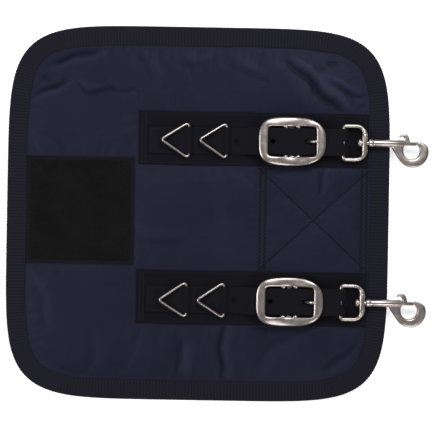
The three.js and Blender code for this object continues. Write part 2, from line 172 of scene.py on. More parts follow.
def clamp(value, low=0, high=1):
    return min(high, max(low, value))


def newGroup(name, inputs, outputs):
    tree = bpy.data.node_groups.new(name, "ShaderNodeTree")
    for label, value in inputs.items():
        kind = "NodeSocketVector" if value is None else "NodeSocketFloat"
        socket = tree.interface.new_socket(label, in_out="INPUT", socket_type=kind)
        if value is not None:
            socket.default_value = value
    for label in outputs:
        tree.interface.new_socket(label, in_out="OUTPUT", socket_type="NodeSocketFloat")
    return tree, tree.nodes.new("NodeGroupInput"), tree.nodes.new("NodeGroupOutput")


def makeThreadWeave():
    # Plain weave: threads along and across go over each other in turn.
    inputs = {"Lay": None, "Along": 0.001, "Across": 0.001}
    tree, given, result = newGroup("threadWeave", inputs, ["Height", "Over"])
    lay = addNode(tree, "ShaderNodeSeparateXYZ", {0: given.outputs["Lay"]})
    waves = []
    for axis, spacing in (("X", "Along"), ("Y", "Across")):
        turn = calc(tree, "DIVIDE", lay.outputs[axis], given.outputs[spacing])
        waves.append(calc(tree, "SINE", calc(tree, "MULTIPLY", turn, math.pi)))
    over = remap(tree, calc(tree, "MULTIPLY", waves[0], waves[1]), -0.12, 0.12)
    high = [calc(tree, "ABSOLUTE", wave) for wave in waves]
    lean = calc(tree, "MULTIPLY", calc(tree, "SUBTRACT", high[1], high[0]), over)
    tree.links.new(calc(tree, "ADD", high[0], lean), result.inputs["Height"])
    tree.links.new(over, result.inputs["Over"])
    return tree


def makeRibLines():
    # Rounded ribs across one direction, with a mask of the grooves between them that the finishes use for
    # painted shade.
    tree, given, result = newGroup("ribLines", {"Lay": None, "Pitch": 0.0016}, ["Height", "GrooveShade"])
    lay = addNode(tree, "ShaderNodeSeparateXYZ", {0: given.outputs["Lay"]})
    turn = calc(tree, "DIVIDE", lay.outputs["X"], given.outputs["Pitch"])
    wave = calc(tree, "ABSOLUTE", calc(tree, "SINE", calc(tree, "MULTIPLY", turn, math.pi)))
    tree.links.new(calc(tree, "POWER", wave, 0.6), result.inputs["Height"])
    tree.links.new(remap(tree, wave, 0.0, 0.35, 1.0, 0.0), result.inputs["GrooveShade"])
    return tree


def makeSoftTone():
    # Slow change of tone over a surface, from dye, handling and dust.
    tree, given, result = newGroup("softTone", {"Lay": None, "Size": 0.03, "Contrast": 0.3}, ["Mask"])
    scale = calc(tree, "DIVIDE", 1.0, given.outputs["Size"])
    inputs = {"Vector": given.outputs["Lay"], "Scale": scale, "Detail": 5.0, "Roughness": 0.6}
    noise = addNode(tree, "ShaderNodeTexNoise", inputs).outputs["Fac"]
    low = calc(tree, "SUBTRACT", 0.5, given.outputs["Contrast"])
    high = calc(tree, "ADD", 0.5, given.outputs["Contrast"])
    tree.links.new(remap(tree, noise, low, high), result.inputs["Mask"])
    return tree


def makeWornEdge():
    # Convex edges, broken up so that the wear isn't even.
    tree, given, result = newGroup("wornEdge", {"Lay": None, "Start": 0.52, "Full": 0.62}, ["Mask"])
    point = addNode(tree, "ShaderNodeNewGeometry").outputs["Pointiness"]
    edge = remap(tree, point, given.outputs["Start"], given.outputs["Full"])
    inputs = {"Vector": given.outputs["Lay"], "Scale": 420.0, "Detail": 3.0}
    patchy = remap(tree, addNode(tree, "ShaderNodeTexNoise", inputs).outputs["Fac"], 0.35, 0.6, 0.35, 1.0)
    tree.links.new(calc(tree, "MULTIPLY", edge, patchy), result.inputs["Mask"])
    return tree


def makeCastGrain():
    # Fine blasted grain with soft tumbling marks over it.
    tree, given, result = newGroup("castGrain", {"Lay": None, "Fineness": 2600.0}, ["Height", "Mask"])
    inputs = {"Vector": given.outputs["Lay"], "Scale": given.outputs["Fineness"], "Detail": 2.0}
    grain = addNode(tree, "ShaderNodeTexNoise", inputs).outputs["Fac"]
    inputs = {"Vector": given.outputs["Lay"], "Scale": 190.0, "Detail": 4.0, "Roughness": 0.65}
    marks = addNode(tree, "ShaderNodeTexNoise", inputs).outputs["Fac"]
    both = calc(tree, "ADD", calc(tree, "MULTIPLY", grain, 0.55), calc(tree, "MULTIPLY", marks, 0.45))
    tree.links.new(both, result.inputs["Height"])
    tree.links.new(remap(tree, both, 0.38, 0.62), result.inputs["Mask"])
    return tree


def makePile():
    # Hooks or loops standing on tape: small round tufts in rows, no two alike.
    tree, given, result = newGroup("pile", {"Lay": None, "Spacing": 0.0012}, ["Height", "Tint"])
    scale = calc(tree, "DIVIDE", 1.0, given.outputs["Spacing"])
    inputs = {"Vector": given.outputs["Lay"], "Scale": scale, "Randomness": 0.55}
    tuft = addNode(tree, "ShaderNodeTexVoronoi", inputs)
    height = remap(tree, tuft.outputs["Distance"], 0.0, 0.6, 1.0, 0.0)
    hue = addNode(tree, "ShaderNodeSeparateColor", {0: tuft.outputs["Color"]}).outputs["Red"]
    tree.links.new(height, result.inputs["Height"])
    # Each tuft's tint is its own random tone, falling to nothing between tufts, where the finish paints
    # shade.
    tree.links.new(calc(tree, "MULTIPLY", hue, height), result.inputs["Tint"])
    return tree


groups = {
    "weave": makeThreadWeave(),
    "ribs": makeRibLines(),
    "tone": makeSoftTone(),
    "wear": makeWornEdge(),
    "grain": makeCastGrain(),
    "pile": makePile(),
}


def useGroup(tree, name, inputs):
    node = tree.nodes.new("ShaderNodeGroup")
    node.node_tree = groups[name]
    for label, value in inputs.items():
        if isinstance(value, bpy.types.NodeSocket):
            tree.links.new(value, node.inputs[label])
        else:
            node.inputs[label].default_value = value
    return node.outputs


def newFinish(name, **sockets):
    finish = bpy.data.materials.new(name)
    finish.use_nodes = True
    shader = finish.node_tree.nodes["Principled BSDF"]
    for label, value in sockets.items():
        shader.inputs[label.replace("_", " ")].default_value = value
    return finish, finish.node_tree, shader


def layOf(tree, uvMap=None):
    if uvMap:
        return addNode(tree, "ShaderNodeUVMap", uv_map=uvMap).outputs["UV"]
    return addNode(tree, "ShaderNodeTexCoord").outputs["Object"]


def connect(tree, shader, baseColour, roughness=None, bumps=()):
    # Each bump is a height, its strength and its depth in millimetres.
    tree.links.new(baseColour, shader.inputs["Base Color"])
    if roughness is not None:
        tree.links.new(roughness, shader.inputs["Roughness"])
    normal = None
    for height, strength, depth in bumps:
        inputs = {"Height": height, "Strength": strength, "Distance": depth * mm}
        if normal is not None:
            inputs["Normal"] = normal
        normal = addNode(tree, "ShaderNodeBump", inputs).outputs["Normal"]
    if normal is not None:
        tree.links.new(normal, shader.inputs["Normal"])


def makeRipstop():
    sockets = {"Specular IOR Level": 0.10, "Sheen Weight": 0.01, "Sheen Roughness": 0.35}
    finish, tree, shader = newFinish("navyRipstop", **sockets)
    shader.inputs["Specular Tint"].default_value = colour(185, 188, 220)
    shader.inputs["Sheen Tint"].default_value = colour(120, 130, 190)
    lay = layOf(tree)
    weave = useGroup(tree, "weave", {"Lay": lay, "Along": 0.00042, "Across": 0.00042})
    turned = addNode(tree, "ShaderNodeMapping", {"Vector": lay, "Rotation": (0, 0, math.pi / 2)}).outputs[0]
    lines = useGroup(tree, "ribs", {"Lay": turned, "Pitch": 0.0031})
    columns = useGroup(tree, "ribs", {"Lay": lay, "Pitch": 0.0050})
    tone = useGroup(tree, "tone", {"Lay": lay, "Size": 0.06, "Contrast": 0.22})
    thread = mixColours(tree, weave["Over"], colour(19, 20, 32), colour(26, 28, 41))
    # The ripstop grid is darker in its grooves: painted shade.
    across = calc(tree, "MULTIPLY", lines["GrooveShade"], 0.55)
    grid = calc(tree, "MAXIMUM", across, calc(tree, "MULTIPLY", columns["GrooveShade"], 0.25))
    lined = mixColours(tree, grid, thread, colour(13, 15, 27))
    base = tint(tree, lined, tone["Mask"], 0.35, (32, 34, 49))
    # Painted shade in the folds' valleys and painted highlight on their ridges, read from the face's fold
    # attribute.
    foldPaintedShading = addNode(tree, "ShaderNodeAttribute", attribute_name="foldPaintedShading").outputs["Fac"]
    base = mixColours(tree, remap(tree, foldPaintedShading, 0.0, 1.0, 0.0, 0.85), base, colour(9, 9, 19))
    base = mixColours(tree, remap(tree, foldPaintedShading, -1.0, 0.0, 0.42, 0.0), base, colour(43, 46, 64))
    rough = remap(tree, tone["Mask"], 0.0, 1.0, 0.44, 0.56)
    bumps = [(weave["Height"], 0.25, 0.06), (lines["Height"], 0.35, 0.10), (columns["Height"], 0.2, 0.08)]
    connect(tree, shader, base, rough, bumps)
    return finish


def makeLiningCloth():
    finish, tree, shader = newFinish("liningCloth", Specular_IOR_Level=0.35, Sheen_Weight=0.06)
    lay = layOf(tree)
    weave = useGroup(tree, "weave", {"Lay": lay, "Along": 0.00036, "Across": 0.00050})
    tone = useGroup(tree, "tone", {"Lay": lay, "Size": 0.045, "Contrast": 0.24})
    thread = mixColours(tree, weave["Over"], colour(27, 28, 42), colour(36, 37, 54))
    base = tint(tree, thread, tone["Mask"], 0.4, (45, 46, 62))
    rough = remap(tree, tone["Mask"], 0.0, 1.0, 0.42, 0.6)
    connect(tree, shader, base, rough, [(weave["Height"], 0.3, 0.08)])
    return finish


def makeWaddingFibre():
    finish, tree, shader = newFinish("waddingFibre", Roughness=0.95, Sheen_Weight=0.3, Specular_IOR_Level=0.1)
    lay = layOf(tree)
    fibre = addNode(tree, "ShaderNodeMapping", {"Vector": lay, "Scale": (1, 3.5, 1)}).outputs[0]
    strands = useGroup(tree, "tone", {"Lay": fibre, "Size": 0.0016, "Contrast": 0.2})
    clumps = useGroup(tree, "tone", {"Lay": lay, "Size": 0.012, "Contrast": 0.25})
    base = mixColours(tree, strands["Mask"], colour(196, 197, 192), colour(232, 232, 228))
    shaded = tint(tree, base, clumps["Mask"], 0.3, (182, 183, 178))
    connect(tree, shader, shaded, None, [(strands["Mask"], 0.6, 0.4), (clumps["Mask"], 0.4, 0.8)])
    return finish


def makeBindingTape():
    sockets = {"Specular IOR Level": 0.08, "Sheen Weight": 0.03, "Sheen Roughness": 0.5}
    finish, tree, shader = newFinish("bindingTape", **sockets)
    lay = layOf(tree, "lay")
    weave = useGroup(tree, "weave", {"Lay": lay, "Along": 0.00080, "Across": 0.00055})
    ribs = useGroup(tree, "ribs", {"Lay": lay, "Pitch": 0.0030})
    tone = useGroup(tree, "tone", {"Lay": layOf(tree), "Size": 0.035, "Contrast": 0.22})
    thread = mixColours(tree, weave["Over"], colour(16, 15, 23), colour(27, 26, 37))
    # Painted shade in the grooves between the ribs.
    ribGrooveShade = remap(tree, ribs["Height"], 0.45, 0.95, 1.0, 0.0)
    lined = tint(tree, thread, ribGrooveShade, 0.8, (8, 7, 13))
    base = tint(tree, lined, tone["Mask"], 0.35, (27, 26, 37))
    rough = remap(tree, tone["Mask"], 0.0, 1.0, 0.66, 0.82)
    connect(tree, shader, base, rough, [(weave["Height"], 0.5, 0.15)])
    return finish


def makeWebbingFinish(name, dark, light, along, across, depth):
    finish, tree, shader = newFinish(name, Specular_IOR_Level=0.08, Sheen_Weight=0.02, Sheen_Roughness=0.5)
    lay = layOf(tree, "lay")
    weave = useGroup(tree, "weave", {"Lay": lay, "Along": along, "Across": across})
    tone = useGroup(tree, "tone", {"Lay": layOf(tree), "Size": 0.02, "Contrast": 0.25})
    fuzz = useGroup(tree, "tone", {"Lay": layOf(tree), "Size": 0.0009, "Contrast": 0.3})
    wear = useGroup(tree, "wear", {"Lay": layOf(tree), "Start": 0.53, "Full": 0.64})
    thread = mixColours(tree, weave["Over"], colour(*dark), colour(*light))
    # Painted shade between the threads, darkest where the weave lies lowest.
    weaveGapShade = mixColours(tree, remap(tree, weave["Height"], 0.0, 0.5, 0.7, 0.0), thread, colour(5, 5, 9))
    lifted = [value + 6 for value in light]
    toned = tint(tree, weaveGapShade, tone["Mask"], 0.4, lifted)
    base = tint(tree, toned, wear["Mask"], 0.15, (36, 36, 47))
    bumps = [(weave["Height"], 0.7, depth), (fuzz["Mask"], 0.25, 0.1)]
    connect(tree, shader, base, remap(tree, tone["Mask"], 0.0, 1.0, 0.7, 0.88), bumps)
    return finish


def makePatchFinish(name, dark, light, spacing, depth):
    finish, tree, shader = newFinish(name, Specular_IOR_Level=0.07, Sheen_Weight=0.0, Roughness=0.9)
    lay = layOf(tree)
    pile = useGroup(tree, "pile", {"Lay": lay, "Spacing": spacing})
    tone = useGroup(tree, "tone", {"Lay": lay, "Size": 0.02, "Contrast": 0.25})
    rim = addNode(tree, "ShaderNodeAttribute", attribute_name="rim").outputs["Fac"]
    # Random tone for each tuft, and painted shade between the tufts.
    tuft = mixColours(tree, pile["Tint"], colour(*dark), colour(*light))
    toned = tint(tree, tuft, tone["Mask"], 0.3, [value + 8 for value in light])
    base = mixColours(tree, rim, toned, colour(19, 19, 22))
    standing = calc(tree, "SUBTRACT", 1.0, calc(tree, "MULTIPLY", rim, 0.8))
    height = calc(tree, "MULTIPLY", pile["Height"], standing)
    connect(tree, shader, base, remap(tree, pile["Height"], 0.0, 1.0, 0.95, 0.75), [(height, 0.9, depth)])
    return finish


def makeThreadFinish(name, dark, light):
    finish, tree, shader = newFinish(name, Specular_IOR_Level=0.08, Sheen_Weight=0.01)
    lay = layOf(tree)
    turned = addNode(tree, "ShaderNodeMapping", {"Vector": lay, "Rotation": (0, 0, 0.8)}).outputs[0]
    ply = useGroup(tree, "ribs", {"Lay": turned, "Pitch": 0.00035})
    tone = useGroup(tree, "tone", {"Lay": lay, "Size": 0.004, "Contrast": 0.25})
    # Darker between the plies: painted shade in the twist's grooves.
    strand = mixColours(tree, ply["GrooveShade"], colour(*light), colour(*dark))
    base = tint(tree, strand, tone["Mask"], 0.4, [value + 5 for value in light])
    rough = remap(tree, tone["Mask"], 0.0, 1.0, 0.45, 0.65)
    connect(tree, shader, base, rough, [(ply["Height"], 0.4, 0.05)])
    return finish


def makeNickel():
    finish, tree, shader = newFinish("satinNickel", Metallic=1.0)
    lay = layOf(tree)
    grain = useGroup(tree, "grain", {"Lay": lay, "Fineness": 2400.0})
    tone = useGroup(tree, "tone", {"Lay": lay, "Size": 0.009, "Contrast": 0.25})
    wear = useGroup(tree, "wear", {"Lay": lay, "Start": 0.50, "Full": 0.58})
    plain = mixColours(tree, grain["Mask"], colour(134, 125, 120), colour(166, 157, 152))
    toned = tint(tree, plain, tone["Mask"], 0.35, (122, 113, 109))
    base = tint(tree, toned, wear["Mask"], 0.5, (200, 192, 188))
    satin = remap(tree, grain["Mask"], 0.0, 1.0, 0.30, 0.42)
    rough = calc(tree, "SUBTRACT", satin, calc(tree, "MULTIPLY", wear["Mask"], 0.1))
    connect(tree, shader, base, rough, [(grain["Height"], 0.22, 0.06)])
    return finish


def makeSteel():
    finish, tree, shader = newFinish("springSteel", Metallic=1.0)
    lay = layOf(tree)
    grain = useGroup(tree, "grain", {"Lay": lay, "Fineness": 5200.0})
    wear = useGroup(tree, "wear", {"Lay": lay, "Start": 0.50, "Full": 0.60})
    base = mixColours(tree, grain["Mask"], colour(140, 141, 143), colour(172, 173, 174))
    bright = tint(tree, base, wear["Mask"], 0.4, (205, 205, 206))
    rough = remap(tree, grain["Mask"], 0.0, 1.0, 0.24, 0.34)
    connect(tree, shader, bright, rough, [(grain["Height"], 0.15, 0.03)])
    return finish


finishes = {
    "ripstop": makeRipstop(),
    "lining": makeLiningCloth(),
    "wadding": makeWaddingFibre(),
    "binding": makeBindingTape(),
    "baseWebbing": makeWebbingFinish("wideWebbing", (5, 5, 9), (11, 10, 17), 0.0011, 0.0009, 0.22),
    "strap": makeWebbingFinish("strapWebbing", (6, 6, 10), (13, 12, 19), 0.0008, 0.0007, 0.12),
    "hookPatch": makePatchFinish("hookTape", (8, 8, 9), (19, 19, 20), 0.0011, 0.35),
    "loopPatch": makePatchFinish("loopTape", (14, 14, 18), (34, 34, 40), 0.0007, 0.30),
    "thread": makeThreadFinish("tapeThread", (11, 11, 17), (22, 22, 32)),
    "darkThread": makeThreadFinish("darkThread", (3, 3, 8), (8, 8, 16)),
    "nickel": makeNickel(),
    "steel": makeSteel(),
}
print("finishes ready:", len(finishes))


def pick(piece):
    bpy.ops.object.select_all(action="DESELECT")
    piece.select_set(True)
    bpy.context.view_layer.objects.active = piece
    return piece


def applyModifiers(piece):
    pick(piece)
    for modifier in list(piece.modifiers):
        bpy.ops.object.modifier_apply(modifier=modifier.name)
    return piece


def tidyMesh(piece, angle=40, mergeBy=0.00002):
    # Merges doubles, turns faces outwards and shades smooth up to an angle.
    pick(piece)
    bpy.ops.object.mode_set(mode="EDIT")
    bpy.ops.mesh.select_all(action="SELECT")
    bpy.ops.mesh.remove_doubles(threshold=mergeBy)
    bpy.ops.mesh.normals_make_consistent(inside=False)
    bpy.ops.object.mode_set(mode="OBJECT")
    bpy.ops.object.shade_smooth_by_angle(angle=math.radians(angle))
    return piece


def combine(piece, tools, operation="UNION", crossing=False):
    for tool in tools:
        modifier = piece.modifiers.new("combine", "BOOLEAN")
        modifier.operation = operation
        modifier.solver = "EXACT"
        modifier.use_self = crossing
        modifier.object = tool
        applyModifiers(piece)
        bpy.data.objects.remove(tool)
    return piece


def ringFrom(name, stations, sides, place):
    # A torus whose points are set by place(share of the way round, turn of the section).
    bpy.ops.mesh.primitive_torus_add(
        major_segments=stations, minor_segments=sides, major_radius=1, minor_radius=0.25, location=(0, 0, 0)
    )
    piece = bpy.context.object
    piece.name = name
    for index, vertex in enumerate(piece.data.vertices):
        turn = 2 * math.pi * (index % sides) / sides
        vertex.co = Vector(place((index // sides) / stations, turn)) * mm
    return piece


def spindleFrom(name, stations, sides, place):
    # A ball whose rings are set by place(ring number, turn); the first and last are its poles.
    bpy.ops.mesh.primitive_uv_sphere_add(segments=sides, ring_count=stations, radius=1, location=(0, 0, 0))
    piece = bpy.context.object
    piece.name = name
    for vertex in piece.data.vertices:
        ring = round(stations * math.acos(clamp(vertex.co.z, -1, 1)) / math.pi)
        vertex.co = Vector(place(ring, math.atan2(vertex.co.y, vertex.co.x))) * mm
    return piece


def turnedPiece(name, profile, level, sides=40):
    # A turned piece on an axis along X, from its profile of (x, radius).
    def place(ring, turn):
        x, radius = profile[ring]
        return (x, radius * math.cos(turn), level + radius * math.sin(turn))
    return tidyMesh(spindleFrom(name, len(profile) - 1, sides, place))


def alongPin(start, end, level, radius, sides):
    bpy.ops.mesh.primitive_cylinder_add(
        vertices=sides, radius=radius * mm, depth=(end - start) * mm,
        location=((start + end) / 2 * mm, 0, level * mm), rotation=(0, math.pi / 2, 0),
    )
    return bpy.context.object


def uprightPin(x, level, radius, length, sides=28):
    bpy.ops.mesh.primitive_cylinder_add(
        vertices=sides, radius=radius * mm, depth=length * mm, location=(x * mm, 0, level * mm)
    )
    return bpy.context.object


def crossPin(name, x, level, radius, length, sides=32):
    bpy.ops.mesh.primitive_cylinder_add(
        vertices=sides, radius=radius * mm, depth=length * mm,
        location=(x * mm, 0, level * mm), rotation=(math.pi / 2, 0, 0),
    )
    piece = bpy.context.object
    piece.name = name
    bpy.ops.object.transform_apply(location=True, rotation=True, scale=True)
    return piece


def roundedBlock(name, low, high, rounding, segments=4):
    middle = [(a + b) / 2 * mm for a, b in zip(low, high)]
    bpy.ops.mesh.primitive_cube_add(size=1, location=middle)
    piece = bpy.context.object
    piece.name = name
    piece.scale = [(b - a) * mm for a, b in zip(low, high)]
    bpy.ops.object.transform_apply(location=True, rotation=True, scale=True)
    if rounding:
        bpy.ops.object.mode_set(mode="EDIT")
        bpy.ops.mesh.select_all(action="SELECT")
        bpy.ops.mesh.bevel(offset=rounding * mm, segments=segments, affect="EDGES")
        bpy.ops.object.mode_set(mode="OBJECT")
    return piece


def power(value, exponent):
    return math.copysign(abs(value) ** exponent, value)


def superellipse(halfX, halfY, exponent, inset, turn):
    # A point on the outline, set back along the outline's true normal.
    c, s = math.cos(turn), math.sin(turn)
    x = halfX * power(c, 2 / exponent)
    y = halfY * power(s, 2 / exponent)
    normal = Vector((power(x / halfX, exponent - 1) / halfX, power(y / halfY, exponent - 1) / halfY))
    normal.normalize()
    return x - inset * normal.x, y - inset * normal.y


def roundedEnds(ring, stations, first, last):
    # 1 along a swept piece, falling to 0 over its first and last rings as a quarter round.
    start, end = 1 - min(1, ring / first), 1 - min(1, (stations - ring) / last)
    return math.sqrt(max(0, 1 - end ** 2)) * math.sqrt(max(0, 1 - start ** 2))


def roundedLoop(corners, steps=8):
    # Closed outline of (x, y, rounding) corners, each rounded by a quadratic curve.
    points = []
    for index, (x, y, rounding) in enumerate(corners):
        here = Vector((x, y))
        before = Vector(corners[index - 1][:2])
        after = Vector(corners[(index + 1) % len(corners)][:2])
        start = here + (before - here).normalized() * rounding
        end = here + (after - here).normalized() * rounding
        for step in range(steps + 1):
            t = step / steps
            points.append(start * (1 - t) ** 2 + here * 2 * t * (1 - t) + end * t * t)
    return points


def evenly(points, count, closed=True):
    # The same line in even steps: (point, direction) for each.
    line = [Vector(point) for point in points]
    if closed:
        line.append(line[0])
    lengths = [0]
    for a, b in zip(line, line[1:]):
        lengths.append(lengths[-1] + (b - a).length)
    total = lengths[-1]
    stations = []
    cursor = 0
    for step in range(count):
        want = total * step / (count if closed else count - 1)
        while cursor < len(line) - 2 and lengths[cursor + 1] < want:
            cursor += 1
        span = lengths[cursor + 1] - lengths[cursor]
        share = (want - lengths[cursor]) / span if span else 0
        stations.append(line[cursor].lerp(line[cursor + 1], share))
    result = []
    for index, point in enumerate(stations):
        a = stations[index - 1] if closed or index else stations[0]
        b = stations[(index + 1) % count] if closed or index < count - 1 else stations[-1]
        result.append((point, (b - a).normalized()))
    return result, total


def smoothRoute(points, passes=2):
    # Cuts corners so that bends come out round.
    line = [Vector(point) for point in points]
    for _ in range(passes):
        cut = [line[0]]
        for a, b in zip(line, line[1:]):
            cut += [a.lerp(b, 0.25), a.lerp(b, 0.75)]
        line = cut + [line[-1]]
    return line


def meshPiece(name, points, faces):
    mesh = bpy.data.meshes.new(name)
    mesh.from_pydata(points, [], faces)
    piece = bpy.data.objects.new(name, mesh)
    bpy.context.collection.objects.link(piece)
    return piece


def finishPiece(piece, material, body, nodes=()):
    piece.data.materials.clear()
    piece.data.materials.append(finishes[material])
    if body:
        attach(piece, body)
    if nodes:
        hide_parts(*nodes)
    return piece


def placeInRows(template, name, material, body, nodes):
    # One copy for each row, each with its own mesh.
    made = []
    for row, place in rows.items():
        copy = template.copy()
        copy.data = template.data.copy()
        copy.name = f"{row}_{name}"
        copy.data.name = copy.name
        bpy.context.collection.objects.link(copy)
        copy.data.transform(Matrix.Translation((0, place["strapY"] * mm, 0)))
        rowBody = f"{row}_{body}" if body else None
        finishPiece(copy, material, rowBody, [f"{row}_{node}" for node in nodes])
        made.append(copy)
    bpy.data.objects.remove(template)
    return made


faceFabric = {
    "grid": 100,  # cells each way while the cloth settles, then twice as many
    "inset": 1.3,
    "top": 4.5,
    "thickness": 0.42,
    "growth": 0.004,
    "frames": 24,
    "lift": 2.2,  # most that the cloth may rise between seams
    "deepest": -0.25,
    "highest": 3,
    "fullPaintedShadeDepth": 1.6,  # depth at which a valley's painted shade is full
    "seamAt": 0.975,  # share of the binding's inner outline where the cloth is held
    "seamFade": 0.02,
    "holdFade": 2,
    "stitchHalf": 1.6,
    "stitchFade": 1.5,
    "looseness": 0.12,
    "pull": 1.2,
    "cloth": {
        "quality": 5,
        "mass": 0.12,
        "tension_stiffness": 25,
        "compression_stiffness": 25,
        "shear_stiffness": 12,
        "bending_stiffness": 0.04,
        "tension_damping": 8,
        "air_damping": 2,
    },
    "sway": 1.1,  # how far the folds wander from their routes
    "swayTurns": (0.19, 0.23),
    "foldEnd": 0.45,  # share of a fold's height that is left at its ends
    "creases": [  # route from the panel's middle, width, height: below 0 is a valley
        ([(82, 142), (97, 130), (107, 118), (116, 110), (125, 104), (131, 97)], 3.2, -2.2),
        ([(88, 147), (104, 135), (114, 124), (123, 116), (132, 110), (139, 102)], 3.6, 2.6),
        ([(70, 143), (88, 126), (98, 113), (110, 101)], 6.0, 0.7),
        ([(114, 126), (128, 118), (141, 114), (153, 110)], 1.8, -1.5),
        ([(116, 131), (130, 123), (143, 119), (154, 115)], 3.2, 1.3),
        ([(121, 142), (128, 140)], 3.0, -1.2),
        ([(108, 133), (116, 137)], 2.4, -0.6),
        ([(24, -104), (23, -130), (25, -155)], 2.2, -1.7),
        ([(30, -106), (29, -130), (31, -154)], 3.6, 1.0),
        ([(-3, -122), (-8, -136), (-10, -150)], 3.8, 1.2),
        ([(-13, -120), (-17, -136), (-18, -150)], 3.0, -0.9),
        ([(157, -122), (146, -134), (124, -149)], 3.2, 1.3),
        ([(150, -118), (139, -128), (118, -141)], 2.6, -1.1),
        ([(-149, 138), (-131, 141), (-113, 148), (-99, 152)], 3.0, -1.5),
        ([(-151, 133), (-132, 135), (-112, 141), (-92, 146)], 3.4, 1.2),
        ([(-152, 132), (-145, 123)], 2.4, -1.2),
        ([(-159, 110), (-141, 113), (-131, 119), (-125, 123)], 2.0, -1.5),
        ([(-156, 105), (-140, 108), (-128, 114), (-120, 121)], 3.0, 1.1),
        ([(-113, 118), (-106, 111), (-95, 112), (-79, 115)], 1.9, -1.4),
        ([(-112, 122), (-103, 116), (-94, 117), (-80, 120)], 2.6, 0.9),
        ([(-95, 119), (-86, 119), (-77, 113), (-50, 113)], 1.8, -0.9),
        ([(-58, 145), (-49, 142), (-47, 126)], 3.6, -0.7),
        ([(-52, 150), (-42, 136), (-40, 122)], 4.6, 0.6),
        ([(-20, 152), (-6, 140), (10, 151)], 4.4, 0.5),
        ([(-24, 143), (-6, 133), (16, 144)], 3.6, -0.35),
        ([(30, 150), (44, 138), (62, 132)], 5.0, 0.5),
        ([(28, 142), (42, 130), (58, 124)], 3.6, -0.35),
        ([(116, 44), (113, 32), (112, 20)], 1.6, -1.3),
        ([(120, 43), (118, 32), (116, 22)], 2.6, 0.8),
        ([(-150, -60), (-134, -84), (-137, -110)], 5.5, 0.6),
        ([(-156, -64), (-141, -88), (-144, -112)], 4.0, -0.5),
        ([(-96, -150), (-86, -134), (-91, -114)], 5.4, 0.4),
        ([(-104, -150), (-94, -132), (-99, -114)], 4.4, -0.3),
        ([(60, -148), (72, -130), (96, -120)], 5.0, 0.5),
        ([(54, -142), (66, -124), (90, -112)], 4.0, -0.35),
        ([(-60, 40), (-38, 28), (-20, 34)], 6.0, 0.3),
        ([(-64, -10), (-40, -22), (-14, -18)], 6.0, 0.4),
        ([(-66, -16), (-40, -29), (-12, -25)], 4.0, -0.4),
        ([(10, 38), (24, 10), (20, -30)], 6.0, 0.3),
    ],
}
stitchedBox = {
    "left": 38.5,
    "right": 141.5,
    "bottom": -52,
    "top": 43,
    "columns": (4.2, 98.6),
    "columnWidth": 9,
    "columnHalfGap": 2.4,
}
frontPatch = {"low": (-176.97, -48.5, 4.6), "high": (-76.97, 51.5, 5.8), "rim": 3.4, "side": 1}
backPatch = {"low": (39.47, -52, 0), "high": (141.47, 42, 1.0), "rim": 3.4, "side": -1}
wideWebbing = {"left": -73.5, "right": 140.4, "halfWidth": 25, "thickness": 1.2, "bottom": 4.6}


def nearestOnRoute(x, y, route):
    # Distance to the route, and how far along it that is, from 0 to 1.
    best, along = 1e9, 0
    for index, ((ax, ay), (bx, by)) in enumerate(zip(route, route[1:])):
        dx, dy = bx - ax, by - ay
        share = clamp(((x - ax) * dx + (y - ay) * dy) / (dx * dx + dy * dy))
        gap = math.hypot(x - ax - share * dx, y - ay - share * dy)
        if gap < best:
            best, along = gap, (index + share) / (len(route) - 1)
    return best, along


def layCreases():
    # Each crease as its rounded route, its bounds, its width and its height.
    laid = []
    for route, width, tall in faceFabric["creases"]:
        line = [tuple(point) for point in smoothRoute(route)]
        xs, ys = [x for x, _ in line], [y for _, y in line]
        reach = 3 * width
        bounds = (min(xs) - reach, max(xs) + reach, min(ys) - reach, max(ys) + reach)
        laid.append((line, bounds, width, tall))
    return laid


creases = layCreases()


def creaseAt(x, y):
    # Listed folds, measured from the panel's middle. They fade towards their ends.
    height, end = 0, faceFabric["foldEnd"]
    x -= panel["centreX"]
    sway, (turnX, turnY) = faceFabric["sway"], faceFabric["swayTurns"]
    x, y = x + sway * math.sin(y * turnX), y + sway * math.sin(x * turnY)
    for line, (left, right, low, high), width, tall in creases:
        if left < x < right and low < y < high:
            gap, along = nearestOnRoute(x, y, line)
            reach = gap / width
            fade = end + (1 - end) * math.sin(math.pi * along)
            height += tall * math.exp(-reach * reach) * fade
    return height


def boxCorners(left, bottom, right, top):
    return [(left, bottom), (right, bottom), (right, top), (left, top)]


def insideBinding(x, y, inset):
    across = abs((x - panel["centreX"]) / (panel["halfX"] - inset)) ** panel["cornerPower"]
    return (across + abs(y / (panel["halfY"] - inset)) ** panel["cornerPower"]) ** (1 / panel["cornerPower"])


def heldDown(x, y):
    # 1 where stitches, tape or webbing hold the face, falling to 0 beside them.
    near = insideBinding(x, y, panel["bindingWidth"])
    hold = [clamp((near - faceFabric["seamAt"]) / faceFabric["seamFade"])]
    for row in rows.values():
        gap = abs(y - row["webbingY"]) - wideWebbing["halfWidth"]
        if x > wideWebbing["left"] - 1:
            hold.append(clamp(1 - gap / faceFabric["holdFade"]))
    low, high = frontPatch["low"], frontPatch["high"]
    gap = max(low[0] - x, x - high[0], low[1] - y, y - high[1])
    hold.append(clamp(1 - gap / faceFabric["holdFade"]))
    box = stitchedBox
    corners = boxCorners(box["left"], box["bottom"], box["right"], box["top"])
    lines = [[corners[0], corners[2]], [corners[1], corners[3]]]
    for offset in box["columns"]:
        side = box["left"] + offset
        lines.append([(side, box["bottom"]), (side, box["top"])])
    # The first two lines are the cross, the others the columns beside it.
    for number, line in enumerate(lines):
        wide = faceFabric["stitchHalf"] if number < 2 else box["columnWidth"] / 2
        gap = nearestOnRoute(x, y, line)[0] - wide
        hold.append(clamp(1 - gap / faceFabric["stitchFade"]))
    return max(hold)


